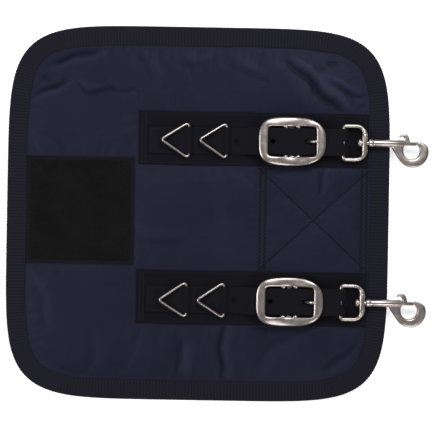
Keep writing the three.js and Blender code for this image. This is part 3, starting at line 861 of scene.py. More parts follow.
def clothGrid(name, cells, inset, level):
    # A square grid pressed out to the panel's rounded outline.
    bpy.ops.mesh.primitive_grid_add(x_subdivisions=cells, y_subdivisions=cells, size=2, location=(0, 0, 0))
    piece = bpy.context.object
    piece.name = name
    exponent = panel["cornerPower"]
    for vertex in piece.data.vertices:
        u, v = vertex.co.x, vertex.co.y
        reach = max(abs(u), abs(v))
        outline = (abs(u) ** exponent + abs(v) ** exponent) ** (1 / exponent)
        share = reach / outline if outline else 1
        x = panel["centreX"] + u * share * (panel["halfX"] - inset)
        vertex.co = (x * mm, v * share * (panel["halfY"] - inset) * mm, level * mm)
    return piece


def relaxCloth(piece):
    # The cloth is a little larger than its seams, and settles with a light pull upwards.
    scene = bpy.context.scene
    held = piece.vertex_groups.new(name="held")
    for vertex in piece.data.vertices:
        x, y = vertex.co.x / mm, vertex.co.y / mm
        held.add([vertex.index], heldDown(x, y), "REPLACE")
        if heldDown(x, y) < 0.99:
            vertex.co.z += random.uniform(0, faceFabric["looseness"]) * mm
    cloth = piece.modifiers.new("cloth", "CLOTH")
    values = cloth.settings
    for name, value in faceFabric["cloth"].items():
        setattr(values, name, value)
    values.vertex_group_mass = "held"
    values.shrink_min = -faceFabric["growth"]
    values.shrink_max = -faceFabric["growth"]
    values.use_pressure = False
    cloth.collision_settings.use_collision = False
    cloth.point_cache.frame_start = 1
    cloth.point_cache.frame_end = faceFabric["frames"]
    values.effector_weights.gravity = 1
    usual = tuple(scene.gravity)
    scene.gravity = (0, 0, faceFabric["pull"])
    scene.frame_start = 1
    scene.frame_end = faceFabric["frames"]
    for number in range(1, faceFabric["frames"] + 1):
        scene.frame_set(number)
    applyModifiers(piece)
    scene.frame_set(1)
    scene.gravity = usual


def makeFace():
    # Only the settled cloth's heights are kept, on a finer flat grid. The placed folds are added to them.
    piece = clothGrid("face_cloth", faceFabric["grid"], faceFabric["inset"], faceFabric["top"])
    flat = clothGrid("flat_cloth", 2 * faceFabric["grid"], faceFabric["inset"], faceFabric["top"])
    relaxCloth(piece)
    pick(piece)
    bpy.ops.object.mode_set(mode="EDIT")
    bpy.ops.mesh.select_all(action="SELECT")
    bpy.ops.mesh.subdivide(number_cuts=1, smoothness=1)
    bpy.ops.object.mode_set(mode="OBJECT")
    settled = KDTree(len(piece.data.vertices))
    for vertex in piece.data.vertices:
        settled.insert((vertex.co.x, vertex.co.y, 0), vertex.index)
    settled.balance()
    # Attribute for painted fold shading: positive in valleys, where the cloth gets painted shade, and
    # negative on ridges, where it gets a painted highlight.
    foldPaintedShadingLayer = flat.data.attributes.new("foldPaintedShading", "FLOAT", "POINT")
    lifts = {}
    top = faceFabric["top"]
    for vertex in flat.data.vertices:
        x, y = vertex.co.x / mm, vertex.co.y / mm
        free = 1 - heldDown(x, y)
        _, nearest, _ = settled.find((vertex.co.x, vertex.co.y, 0))
        rise = clamp(piece.data.vertices[nearest].co.z / mm - top, 0, faceFabric["lift"])
        crease = creaseAt(x, y)
        lift = clamp((rise + crease) * free, faceFabric["deepest"], faceFabric["highest"])
        vertex.co.z = (top + lift) * mm
        lifts[(round(x, 2), round(y, 2))] = lift
        foldPaintedShadingLayer.data[vertex.index].value = clamp(-crease * free / faceFabric["fullPaintedShadeDepth"], -1, 1)
    bpy.data.objects.remove(piece)
    flat.name = "face_cloth"
    return flat, lifts


def addDepth(piece, thickness, offset=-1):
    wall = piece.modifiers.new("depth", "SOLIDIFY")
    wall.thickness = thickness * mm
    wall.offset = offset
    return applyModifiers(piece)


faceCloth, faceLifts = makeFace()
addDepth(faceCloth, faceFabric["thickness"])
tidyMesh(faceCloth, 60)
finishPiece(faceCloth, "ripstop", "panel", ["face_fabric"])
print("face cloth ready")

fill = {"bottom": 1.7, "top": 3.85, "inset": 2.2, "share": 0.8}
lining = {"bottom": 1.15, "thickness": 0.4, "puff": 0.38, "deepest": 0.85, "patchFade": 6}


def liftNear(x, y):
    # The face's lift at the same point of a grid that is made as the face's is.
    return faceLifts.get((round(x, 2), round(y, 2)), 0)


def makeWadding():
    piece = clothGrid("wadding_fill", 2 * faceFabric["grid"], faceFabric["inset"], fill["top"])
    for vertex in piece.data.vertices:
        vertex.co.z += fill["share"] * max(0, liftNear(vertex.co.x / mm, vertex.co.y / mm)) * mm
    addDepth(piece, fill["top"] - fill["bottom"])
    shrink = 1 - (fill["inset"] - faceFabric["inset"]) / panel["halfX"]
    for vertex in piece.data.vertices:
        vertex.co.x = (panel["centreX"] * mm) + (vertex.co.x - panel["centreX"] * mm) * shrink
        vertex.co.y *= shrink
        if vertex.co.z < (fill["bottom"] + fill["top"]) / 2 * mm:
            vertex.co.z = fill["bottom"] * mm
    return tidyMesh(piece, 60)


def makeLining():
    piece = clothGrid("lining_cloth", 2 * faceFabric["grid"], faceFabric["inset"], lining["bottom"])
    low, high = backPatch["low"], backPatch["high"]
    for vertex in piece.data.vertices:
        x, y = vertex.co.x / mm, vertex.co.y / mm
        gap = max(low[0] - x, x - high[0], low[1] - y, y - high[1])
        free = clamp((gap - 1) / lining["patchFade"])
        drop = lining["puff"] * liftNear(x, y) * free
        vertex.co.z -= min(lining["deepest"], drop) * mm
    addDepth(piece, lining["thickness"], 1)
    return tidyMesh(piece, 60)


waddingFill = makeWadding()
finishPiece(waddingFill, "wadding", "panel", ["wadding"])
liningCloth = makeLining()
finishPiece(liningCloth, "lining", "panel", ["lining"])
print("wadding and lining ready")


tape = {
    "ribPitch": 3.0,
    "ribHeight": 0.17,
    "wander": 0.35,
    "waves": ((0.061, 0.043), (0.137, 0.119)),
    "secondWave": 0.6,
    "edgeDepth": 3,  # how far in from the edge the ribs stand outwards, not up
    "topFrom": 4.7,
    "backTo": 0.6,
    "middle": 2.8,
    "ripple": 0.12,
    "outmost": -0.2,
    # Section of the folded tape: set back from the edge, and level.
    "section": [
        (0.0, 2.8), (0.05, 3.9), (0.3, 4.9), (0.9, 5.45), (2.2, 5.62), (5.0, 5.7), (9.0, 5.62),
        (12.5, 5.6), (14.8, 5.55), (16.2, 5.35), (17.3, 5.5), (18.0, 5.3), (17.9, 4.7), (14.0, 4.6),
        (8.0, 4.6), (2.2, 4.6), (1.2, 4.1), (1.05, 2.8), (1.2, 1.5), (2.2, 1.0), (8.0, 1.0),
        (16.8, 1.0), (17.9, 0.85), (18.0, 0.35), (17.3, 0.06), (16.2, 0.2), (9.0, 0.0), (2.2, 0.02),
        (0.9, 0.15), (0.3, 0.7), (0.05, 1.7),
    ],
}


def panelOutline(count):
    turns = [2 * math.pi * index / 4000 for index in range(4000)]
    points = [superellipse(panel["halfX"], panel["halfY"], panel["cornerPower"], 0, turn) for turn in turns]
    return evenly(points, count)


def layRing(piece, stations, sides, total, across):
    # UV map in metres: along the ring and across its section.
    lay = piece.data.uv_layers.new(name="lay")
    for face in piece.data.polygons:
        numbers = [piece.data.loops[index].vertex_index for index in face.loop_indices]
        ringsHere = [number // sides for number in numbers]
        sidesHere = [number % sides for number in numbers]
        wrapAlong = max(ringsHere) - min(ringsHere) > 1
        wrapAcross = max(sidesHere) - min(sidesHere) > 1
        for index, ring, side in zip(face.loop_indices, ringsHere, sidesHere):
            ring = stations if wrapAlong and ring == 0 else ring
            side = sides if wrapAcross and side == 0 else side
            lay.data[index].uv = (total * ring / stations * mm, across[side] * mm)


def sweepRing(name, stations, sides, place):
    # A closed band swept round, for more stations than a torus can have.
    points = []
    for ring in range(stations):
        points += [Vector(place(ring, side)) * mm for side in range(sides)]
    faces = []
    for ring in range(stations):
        after = (ring + 1) % stations * sides
        for side in range(sides):
            other = (side + 1) % sides
            faces.append((ring * sides + side, after + side, after + other, ring * sides + other))
    return meshPiece(name, points, faces)


def makeBinding():
    section = tape["section"]
    slow, quick = tape["waves"]
    sides = len(section)
    _, perimeter = panelOutline(200)
    ribCount = round(perimeter / tape["ribPitch"])
    stations = 4 * ribCount
    outline, perimeter = panelOutline(stations)

    def place(station, side):
        (point, direction), (setBack, level) = outline[station], section[side]
        out = Vector((direction.y, -direction.x))
        crest = (-1, 0, 1, 0)[station % 4]
        sway = math.sin(point.x * slow[0] + point.y * slow[1])
        sway += tape["secondWave"] * math.sin(point.x * quick[0] - point.y * quick[1])
        edge = max(0, 1 - setBack / tape["edgeDepth"])
        setBack += tape["wander"] * sway * (0.5 - 0.5 * edge) - tape["ribHeight"] * crest * edge
        if level > tape["topFrom"] or level < tape["backTo"]:
            level += tape["ribHeight"] * crest * (1 if level > tape["middle"] else -1) * (1 - edge)
            level += tape["ripple"] * sway * (1 - edge) if level > tape["middle"] else 0
        spot = point - out * max(tape["outmost"], setBack)
        return (spot.x + panel["centreX"], spot.y, level)

    piece = sweepRing("binding_tape", stations, sides, place)
    across = [0]
    for first, second in zip(section, section[1:] + section[:1]):
        across.append(across[-1] + math.dist(first, second))
    layRing(piece, stations, sides, ribCount * tape["ribPitch"], across)
    return tidyMesh(piece, 70, 0.000001)


bindingTape = makeBinding()
finishPiece(bindingTape, "binding", "panel", ["edge_binding"])
print("binding ready")


pile = {
    "step": 0.4,  # how far the pile stands above the rim
    "shoulder": 0.4,
    "cuts": 44,
    "seamSink": 0.3,
    "seamWidth": 1.6,
    "wave": 0.06,
    "waves": (7, 6),
    "slant": 0.707,
}


def makePatch(name, patch):
    low, high, rim, side = patch["low"], patch["high"], patch["rim"], patch["side"]
    step = pile["step"] * side
    outer = roundedBlock(name, low, high, 0)
    level = high[2] if side > 0 else low[2]
    for vertex in outer.data.vertices:
        if abs(vertex.co.z / mm - level) < 0.01:
            vertex.co.z -= step * mm
    bpy.ops.object.mode_set(mode="EDIT")
    bpy.ops.mesh.select_all(action="DESELECT")
    mesh = bmesh.from_edit_mesh(outer.data)
    for face in mesh.faces:
        face.select_set(face.normal.z * side > 0.9)
    bmesh.update_edit_mesh(outer.data)
    bpy.ops.mesh.inset(thickness=rim * mm)
    bpy.ops.mesh.extrude_region_move(TRANSFORM_OT_translate={"value": (0, 0, step * mm)})
    bpy.ops.mesh.inset(thickness=pile["shoulder"] * mm)
    bpy.ops.mesh.subdivide(number_cuts=pile["cuts"])
    bpy.ops.object.mode_set(mode="OBJECT")
    middle = [(a + b) / 2 for a, b in zip(low, high)]
    half = [(b - a) / 2 for a, b in zip(low, high)]
    shades = outer.data.attributes.new("rim", "FLOAT", "POINT")
    for vertex in outer.data.vertices:
        u = (vertex.co.x / mm - middle[0]) / half[0]
        v = (vertex.co.y / mm - middle[1]) / half[1]
        onPile = abs(vertex.co.z / mm - level) < 0.05
        shades.data[vertex.index].value = 0 if onPile else 1
        if onPile:
            near = min(abs(u - v), abs(u + v)) * half[0] * pile["slant"]
            sink = pile["seamSink"] * math.exp(-(near / pile["seamWidth"]) ** 2)
            sink += pile["wave"] * math.sin(u * pile["waves"][0]) * math.sin(v * pile["waves"][1])
            vertex.co.z -= side * max(0, sink) * mm
    return tidyMesh(outer, 50)


hookPatch = makePatch("hook_patch", frontPatch)
finishPiece(hookPatch, "hookPatch", "panel", ["front_hook_patch"])
loopPatch = makePatch("loop_patch", backPatch)
finishPiece(loopPatch, "loopPatch", "panel", ["back_loop_patch"])
print("patches ready")


def bandSection(halfWidth, thickness, across, rounding=0.8):
    # Points round a strap's section, as (across, height): the top first, then the underside.
    ys = [-halfWidth + 2 * halfWidth * index / across for index in range(1, across)]
    rim = [halfWidth * -1, -halfWidth + 0.12, -halfWidth + 0.4]
    ys = sorted(rim + [y for y in ys if abs(y) < halfWidth - 0.6] + [-y for y in rim])
    top = []
    for y in ys:
        edge = max(0, (abs(y) - halfWidth + rounding) / rounding)
        top.append((y, thickness / 2 * math.sqrt(max(0, 1 - edge * edge))))
    return top + [(y, -height) for y, height in reversed(top[1:-1])]


def bandFrom(name, route, section, sway=0.0):
    # A flat strap swept along a route of (x, level), with its lay kept as a UV map.
    count = len(section)
    points = []
    along = [0]
    for index, (x, z) in enumerate(route):
        ax, az = route[max(0, index - 1)]
        bx, bz = route[min(len(route) - 1, index + 1)]
        length = math.hypot(bx - ax, bz - az)
        nx, nz = -(bz - az) / length, (bx - ax) / length
        shift = sway * math.sin(x * 0.07)
        points += [((x + nx * h) * mm, (y + shift) * mm, (z + nz * h) * mm) for y, h in section]
        if index:
            along.append(along[-1] + math.dist(route[index - 1], route[index]))
    faces = []
    spots = []
    wide = [0]
    for first, second in zip(section, section[1:] + section[:1]):
        wide.append(wide[-1] + math.dist(first, second))
    for ring in range(len(route) - 1):
        for side in range(count):
            after = (side + 1) % count
            a, b = ring * count, (ring + 1) * count
            faces.append((a + side, b + side, b + after, a + after))
            s0, s1 = along[ring] * mm, along[ring + 1] * mm
            t0, t1 = wide[side] * mm, wide[side + 1] * mm
            spots += [(s0, t0), (s1, t0), (s1, t1), (s0, t1)]
    last = (len(route) - 1) * count
    faces.append(tuple(range(count)))
    faces.append(tuple(last + side for side in reversed(range(count))))
    for station in (0, len(route) - 1):
        order = section if station == 0 else list(reversed(section))
        spots += [((along[station] + h) * mm, (y + 20) * mm) for y, h in order]
    piece = meshPiece(name, points, faces)
    lay = piece.data.uv_layers.new(name="lay")
    for index, spot in enumerate(spots):
        lay.data[index].uv = spot
    return tidyMesh(piece, 50, 0.000001)


def makeWideWebbing(row, level):
    steps = 150
    left, right = wideWebbing["left"], wideWebbing["right"]
    middle = wideWebbing["bottom"] + wideWebbing["thickness"] / 2
    route = [(left + (right - left) * index / steps, middle) for index in range(steps + 1)]
    section = bandSection(wideWebbing["halfWidth"], wideWebbing["thickness"], 40)
    piece = bandFrom(f"{row}_wide_webbing", route, section, 0.25)
    piece.data.transform(Matrix.Translation((0, level * mm, 0)))
    finishPiece(piece, "baseWebbing", "panel", [f"{row}_base_webbing"])


for row, place in rows.items():
    makeWideWebbing(row, place["webbingY"])

strap = {
    "halfWidth": 12.5,
    "thickness": 1.5,
    "start": -64.5,
    "low": 6.65,  # middle of the lower leg
    "high": 13.15,
    "ringBars": (-26.5, 8.5),
    "humpHalf": 5.2,
    "humpHeight": 2.8,
    "riseFrom": 22.5,
    "riseTo": 40.5,
    "foldX": 116.5,
    "foldLevel": 9.9,
    "wrapX": 68.5,
    "wrapLevel": 9.1,
    "tailEnd": 92.4,
    "tailLevel": 8.25,
    "holes": (17.5, 51.0, 118.0),
    "holeRadius": 2.2,
    "pressRadius": 3.5,
    "pressWidth": 0.75,
    "pressHeight": 0.22,
    "tongueHole": (83.8, 8.0),
    "tongueHoleLevel": 13.9,
    "slotHalf": 2.2,
    "slot": (68.5, 86, 7.45, 12.36),
    "eyeRoom": 3.26,
    "tailFall": 14,  # length over which the tail comes down to its level
    "step": 0.55,
    "bendFrom": 10.0,
    "bendTo": 18.0,
}


def strapRoute():
    route = []
    x = strap["start"]
    while x < strap["riseTo"]:
        z = strap["low"]
        for bar in strap["ringBars"]:
            near = abs(x - bar) / strap["humpHalf"]
            if near < 1:
                z += strap["humpHeight"] * math.cos(math.pi / 2 * near) ** 2
        if x > strap["riseFrom"]:
            share = (x - strap["riseFrom"]) / (strap["riseTo"] - strap["riseFrom"])
            z += (strap["high"] - strap["low"]) * (1 - math.cos(math.pi * share)) / 2
        route.append((x, z))
        x += strap["step"]
    route += [(x, strap["high"]) for x in range(math.ceil(strap["riseTo"]) + 1, int(strap["foldX"]))]
    radius = (strap["high"] - strap["low"]) / 2
    for step in range(19):
        turn = math.pi / 2 - math.pi * step / 18
        route.append((strap["foldX"] + radius * math.cos(turn), strap["foldLevel"] + radius * math.sin(turn)))
    route += [(x, strap["low"]) for x in range(int(strap["foldX"]) - 1, math.ceil(strap["wrapX"]), -1)]
    radius = strap["wrapLevel"] - strap["low"]
    for step in range(17):
        turn = -math.pi / 2 - math.pi * step / 16
        route.append((strap["wrapX"] + radius * math.cos(turn), strap["wrapLevel"] + radius * math.sin(turn)))
    top = strap["wrapLevel"] + radius
    for step in range(1, 13):
        share = step / 12
        z = top + (strap["tailLevel"] - top) * (1 - math.cos(math.pi * share)) / 2
        route.append((strap["wrapX"] + strap["tailFall"] * share, z))
    route += [(x, strap["tailLevel"]) for x in (84, 86, 88, 90, strap["tailEnd"])]
    return route


def makeStrap():
    section = bandSection(strap["halfWidth"], strap["thickness"], 24)
    piece = bandFrom("strap", strapRoute(), section)
    tools = []
    rims = []
    for x in strap["holes"]:
        low = 4 if x < strap["riseFrom"] else 11.9
        tools.append(uprightPin(x, low + 4, strap["holeRadius"], 8))
        top = strap["low"] if x < strap["riseFrom"] else strap["high"]
        bpy.ops.mesh.primitive_torus_add(
            major_segments=32, minor_segments=10, major_radius=strap["pressRadius"] * mm,
            minor_radius=strap["pressWidth"] * mm, location=(x * mm, 0, (top + strap["thickness"] / 2) * mm),
        )
        rim = bpy.context.object
        for vertex in rim.data.vertices:
            vertex.co.z *= strap["pressHeight"] / strap["pressWidth"]
        rims.append(rim)
    middle, length = strap["tongueHole"]
    stretched = uprightPin(middle, strap["tongueHoleLevel"], strap["holeRadius"], 4)
    half = length / 2 - strap["holeRadius"]
    for vertex in stretched.data.vertices:
        vertex.co.x += math.copysign(half, vertex.co.x) * mm
    tools.append(stretched)
    slot = strap["slotHalf"]
    left, right, low, high = strap["slot"]
    tools.append(roundedBlock("slot", (left, -slot, low), (right, slot, high), 0))
    tools.append(crossPin("eyeRoom", strap["wrapX"], strap["wrapLevel"], strap["eyeRoom"], 2 * slot))
    combine(piece, rims)
    combine(piece, tools, "DIFFERENCE")
    return tidyMesh(piece, 50, 0.000001)


strapNodes = ["strap_sewn_end", "strap_free_end"]
straps = placeInRows(makeStrap(), "strap_webbing", "strap", None, strapNodes)
for piece, (row, place) in zip(straps, rows.items()):
    y = place["strapY"] * mm
    start = (strap["bendFrom"] * mm, y, strap["low"] * mm)
    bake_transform(piece)
print("webbing and straps ready")


wireRing = {
    "bars": {"outer": -26.5, "inner": 8.5},
    "level": 7.25,
    "wire": 1.25,
    "half": 17.2,
    "apex": 27,
    "baseRounding": 6.5,
    "apexRounding": 4,
    "tilt": 15,
    "stations": 120,
    "sides": 16,
}


def makeRing(bar):
    values = wireRing
    corners = [
        (0, values["half"], values["baseRounding"]),
        (-values["apex"], 0, values["apexRounding"]),
        (0, -values["half"], values["baseRounding"]),
    ]
    path, _ = evenly(roundedLoop(corners), values["stations"])
    tilt = math.radians(values["tilt"])

    def place(share, turn):
        point, direction = path[round(share * values["stations"]) % values["stations"]]
        out = Vector((direction.y, -direction.x))
        spot = point + out * values["wire"] * math.cos(turn)
        rise = values["wire"] * math.sin(turn)
        x = spot.x * math.cos(tilt) + rise * math.sin(tilt)
        z = -spot.x * math.sin(tilt) + rise * math.cos(tilt)
        return (bar + x, spot.y, values["level"] + z)

    return tidyMesh(ringFrom("ring", values["stations"], values["sides"], place), 80)


for side, bar in wireRing["bars"].items():
    name = f"{side}_ring"
    placeInRows(makeRing(bar), f"{side}_wire_ring", "nickel", name, [name])
print("rings ready")


buckle = {
    "x": 68.5,
    "halfWidth": 31,
    "halfHeight": 22.5,
    "leftPower": 3.4,
    "rightPower": 2.6,
    "windowHalf": (22.25, 14),
    "windowPower": 11,
    "top": 17.4,
    "thickness": 3.2,
    "dish": 3.2,
    "sectionPower": 2.5,
    "stations": 176,
    "sides": 20,
    "barRadius": 1.6,
    "barLevel": 9.1,
    "lugInner": 13.0,
    "lugOuter": 17.5,
    "lugHalf": 2.6,
    "lugLow": 7.6,
    "lugHigh": 12.0,
    "lugRounding": 0.7,
    "bumpOffset": 5.7,
    "bump": (2.5, 1.7, 1.4),
    "crowding": 0.16,
}


def outlineReach(turn, halfX, halfY, exponent):
    c, s = abs(math.cos(turn)) / halfX, abs(math.sin(turn)) / halfY
    return (c ** exponent + s ** exponent) ** (-1 / exponent)


def makeBuckle():
    values = buckle
    inner = values["windowHalf"]
    middle = values["top"] - values["thickness"] / 2
    squareness = 2 / values["sectionPower"]

    def place(share, turn):
        # Stations crowd towards the window's corners.
        around = 2 * math.pi * share
        around -= values["crowding"] * math.sin(4 * around)
        exponent = values["leftPower"] if math.cos(around) < 0 else values["rightPower"]
        far = outlineReach(around, values["halfWidth"], values["halfHeight"], exponent)
        near = outlineReach(around, inner[0], inner[1], values["windowPower"])
        reach = (far + near) / 2 + (far - near) / 2 * power(math.cos(turn), squareness)
        x, y = reach * math.cos(around), reach * math.sin(around)
        centre = (far + near) / 2 * math.cos(around)
        dip = values["dish"] * (1 + math.cos(math.pi * min(1, abs(centre) / inner[0]))) / 2
        z = middle - dip + values["thickness"] / 2 * power(math.sin(turn), squareness)
        return (values["x"] + x, y, z)

    casting = tidyMesh(ringFrom("buckle", values["stations"], values["sides"], place), 60)
    barLength = 2 * values["lugOuter"] - 1
    tools = [crossPin("bar", values["x"], values["barLevel"], values["barRadius"], barLength)]
    for side in (1, -1):
        ys = sorted((side * values["lugInner"], side * values["lugOuter"]))
        low = (values["x"] - values["lugHalf"], ys[0], values["lugLow"])
        high = (values["x"] + values["lugHalf"], ys[1], values["lugHigh"])
        tools.append(roundedBlock("lug", low, high, values["lugRounding"]))
        for offset in (-1, 1):
            # Small cast lumps beside the bar, on the rail's inner edge.
            bpy.ops.mesh.primitive_uv_sphere_add(segments=16, ring_count=10, radius=1)
            lump = bpy.context.object
            x = values["x"] + offset * values["bumpOffset"]
            dip = values["dish"] * (1 + math.cos(math.pi * values["bumpOffset"] / inner[0])) / 2
            (long, wide, tall), spot = values["bump"], (x, side * inner[1], middle - dip)
            for vertex in lump.data.vertices:
                a, b, c = vertex.co
                vertex.co = Vector((spot[0] + long * a, spot[1] + wide * b, spot[2] + tall * c)) * mm
            tools.append(lump)
    combine(casting, tools)
    return tidyMesh(casting, 42)


placeInRows(makeBuckle(), "buckle_casting", "nickel", "strap", ["buckle_frame"])

tongue = {
    "eyeMiddle": 2.25,
    "eyeWall": 0.5,
    "halfWidth": 1.6,
    "halfThickness": 0.9,
    "route": [
        (70.8, 9.1), (75, 9.1), (80, 9.15), (82, 10.2), (83.6, 12.6),
        (85, 14.9), (86.8, 17.0), (89.2, 18.3), (91.0, 18.42), (93.4, 18.4),
    ],
    "narrowing": 0.28,
    "thinning": 0.12,
    "stemSquareness": 0.8,
    "eyeSquareness": 0.7,
    "stations": 60,
    "sides": 18,
}


def makeTongue():
    values = tongue
    path, _ = evenly(smoothRoute(values["route"]), values["stations"] + 1, closed=False)

    def placeStem(ring, turn):
        point, direction = path[ring]
        share = ring / values["stations"]
        end = min(1, (values["stations"] - ring) / 4)
        closed = math.sqrt(max(0, 1 - (1 - end) ** 2)) if ring else 0
        width = values["halfWidth"] * (1 - values["narrowing"] * share) * closed
        thick = values["halfThickness"] * (1 - values["thinning"] * share) * closed
        up = Vector((-direction.y, direction.x))
        spot = point + up * thick * power(math.sin(turn), values["stemSquareness"])
        return (spot.x, width * power(math.cos(turn), values["stemSquareness"]), spot.y)

    def placeEye(share, turn):
        around = 2 * math.pi * share
        reach = values["eyeMiddle"] + values["eyeWall"] * power(math.cos(turn), values["eyeSquareness"])
        x = buckle["x"] + reach * math.cos(around)
        z = buckle["barLevel"] + reach * math.sin(around)
        return (x, values["halfWidth"] * power(math.sin(turn), values["eyeSquareness"]), z)

    eye = tidyMesh(ringFrom("eye", 40, 12, placeEye), 60)
    stem = tidyMesh(spindleFrom("tongue", values["stations"], values["sides"], placeStem), 60)
    combine(stem, [eye])
    return tidyMesh(stem, 50)


placeInRows(makeTongue(), "tongue_casting", "nickel", "tongue", ["buckle_tongue"])
print("buckles ready")


loop = {
    "x": 116.5,
    "level": 9.9,
    "wire": 1.9,
    "half": 15.6,
    "depth": 19.4,
    "farCorner": 9,
    "nearCorner": 2.7,
    "stations": 128,
    "sides": 18,
    "boss": ((132.85, -9.55, 6.95), (138.95, 9.55, 12.85)),
    "bossRounding": 2.7,
    "swell": 0.42,  # how much thicker the wire gets towards the boss
    "swellFrom": 14.0,
    "swellTo": 8.6,
    "pivotRadius": 2.4,
}


def makeLoop():
    values = loop
    corners = [
        (values["depth"], -values["half"], values["farCorner"]),
        (values["depth"], values["half"], values["farCorner"]),
        (0, values["half"], values["nearCorner"]),
        (0, -values["half"], values["nearCorner"]),
    ]
    path, _ = evenly(roundedLoop(corners), values["stations"])

    def place(share, turn):
        point, direction = path[round(share * values["stations"]) % values["stations"]]
        near = (values["swellFrom"] - abs(point.y)) / (values["swellFrom"] - values["swellTo"])
        near = clamp(near) if point.x > values["depth"] / 2 else 0
        wide = values["wire"] * (1 + values["swell"] * near * near * (3 - 2 * near))
        spot = point + Vector((direction.y, -direction.x)) * wide * math.cos(turn)
        return (values["x"] + spot.x, spot.y, values["level"] + wide * math.sin(turn))

    wire = tidyMesh(ringFrom("loop", values["stations"], values["sides"], place), 80)
    boss = roundedBlock("boss", *values["boss"], values["bossRounding"], 5)
    combine(wire, [boss])
    (left, _, _), (right, _, _) = values["boss"]
    pivot = alongPin(left - 2, right + 2, values["level"], values["pivotRadius"], 36)
    combine(wire, [pivot], "DIFFERENCE")
    return tidyMesh(wire, 42)


placeInRows(makeLoop(), "loop_casting", "nickel", "loop", ["swivel_loop"])
print("loops ready")


hook = {
    "start": 139.8,  # near face of the collar
    "level": 9.9,
    "head": (-10.5, -7.4, 3.9),
    "stem": 2.0,
    "collar": (0.0, 4.0, 3.9),
    "barrel": 3.6,
    "barrelEnd": 32.7,
    "bore": (5.7, 37.0, 2.1),
    "slot": (21.7, 37.0, 1.7),
    "throat": (39.6, -6.8),
    "throatRadius": 7.5,
    "halfThickness": 2.8,
    # Round the throat: turn in degrees and the arm's outer reach.
    "arm": [
        (196, 14.6), (205, 14.2), (214, 14.0), (227, 14.15), (240, 14.57), (255, 14.9), (270, 15.24),
        (285, 15.6), (300, 15.85), (315, 16.05), (330, 16.17), (345, 16.17), (360, 16.09), (374, 15.7),
        (385, 14.3), (394, 13.1), (402, 12.2), (410, 11.4), (418, 10.8), (426, 10.4),
    ],
    # Between the barrel and the arm: place and half width.
    "web": [
        (27.2, 1.6, 4.2), (27.1, -0.4, 5.4), (26.9, -2.6, 5.9),
        (27.2, -4.6, 5.1), (27.9, -6.8, 4.3), (28.7, -9.0, 3.75),
    ],
    "tipFace": 44.3,
    "thinning": 0.2,
    "squareness": 0.5,
    "sides": 20,
    "stations": 84,
}


def armStations():
    cx, cy = hook["throat"]
    points = [Vector((x, y, reach)) for x, y, reach in hook["web"]]
    for turn, far in hook["arm"]:
        angle = math.radians(turn)
        middle = (far + hook["throatRadius"]) / 2
        points.append(Vector((
            cx + middle * math.cos(angle), cy + middle * math.sin(angle), (far - hook["throatRadius"]) / 2
        )))
    return points


def makeHook():
    values = hook
    x0, level = values["start"], values["level"]
    headStart, headEnd, headRadius = values["head"]
    c0, c1, collarRadius = values["collar"]
    barrel, end = values["barrel"], values["barrelEnd"]
    profile = [
        (headStart, 0), (headStart, headRadius * 0.5), (headStart + 0.35, headRadius * 0.78),
        (headStart + 1.2, headRadius * 0.97), (headStart + 1.8, headRadius), (headEnd - 0.35, headRadius),
        (headEnd, headRadius - 0.35), (headEnd, values["stem"]), (c0, values["stem"]),
        (c0, collarRadius - 0.5), (c0 + 0.5, collarRadius), (c1 - 0.9, collarRadius),
        (c1 - 0.3, collarRadius - 0.25), (c1 + 0.2, barrel), (c1 + 0.7, barrel - 0.12), (c1 + 1.4, barrel),
        (end - 0.7, barrel), (end - 0.2, barrel - 0.25), (end, barrel - 0.7), (end, 0),
    ]
    body = turnedPiece("hook", [(x0 + x, radius) for x, radius in profile], level)
    path, _ = evenly(armStations(), values["stations"] + 1, closed=False)

    def place(ring, turn):
        point, direction = path[ring]
        ahead = Vector((direction.x, direction.y)).normalized()
        left = Vector((-ahead.y, ahead.x))
        closed = roundedEnds(ring, values["stations"], 3, 3)
        reach = point.z * closed
        thick = values["halfThickness"] * (1 - values["thinning"] * (ring / values["stations"]) ** 2) * closed
        spot = Vector((point.x, point.y)) + left * reach * power(math.cos(turn), values["squareness"])
        return (x0 + spot.x, spot.y, level + thick * power(math.sin(turn), values["squareness"]))

    arm = tidyMesh(spindleFrom("arm", values["stations"], values["sides"], place), 60)
    gapLow = (x0 + values["tipFace"] - 9, -3.4, level - 5)
    gapHigh = (x0 + values["tipFace"], 6, level + 5)
    combine(arm, [roundedBlock("mouth", gapLow, gapHigh, 0)], "DIFFERENCE")
    combine(body, [arm], crossing=True)
    bore0, bore1, boreRadius = values["bore"]
    bore = alongPin(x0 + bore0, x0 + bore1, level, boreRadius, 32)
    slot0, slot1, slotHalf = values["slot"]
    low = (x0 + slot0, 0, level - slotHalf)
    high = (x0 + slot1, barrel + 1.5, level + slotHalf)
    combine(body, [bore, roundedBlock("slot", low, high, 0)], "DIFFERENCE")
    return tidyMesh(body, 42)


placeInRows(makeHook(), "hook_casting", "nickel", "hook", ["snap_hook"])

bolt = {
    "shank": (18.7, 44.0, 1.8),
    "neck": 33.3,
    "halfThickness": 1.4,
    # Thumb piece from its root in the shank to the beak's tip: (x from the neck, y, half width).
    "thumb": [
        (2.5, 0.4, 2.7), (2.4, 2.4, 2.5), (2.1, 4.4, 2.3), (1.5, 6.0, 2.2), (0.4, 7.3, 2.1),
        (-1.1, 7.9, 1.75), (-2.7, 7.6, 1.35), (-4.1, 6.8, 1.05), (-5.2, 6.0, 0.75),
    ],
    "stations": 44,
    "sides": 16,
    "squareness": 0.8,
}


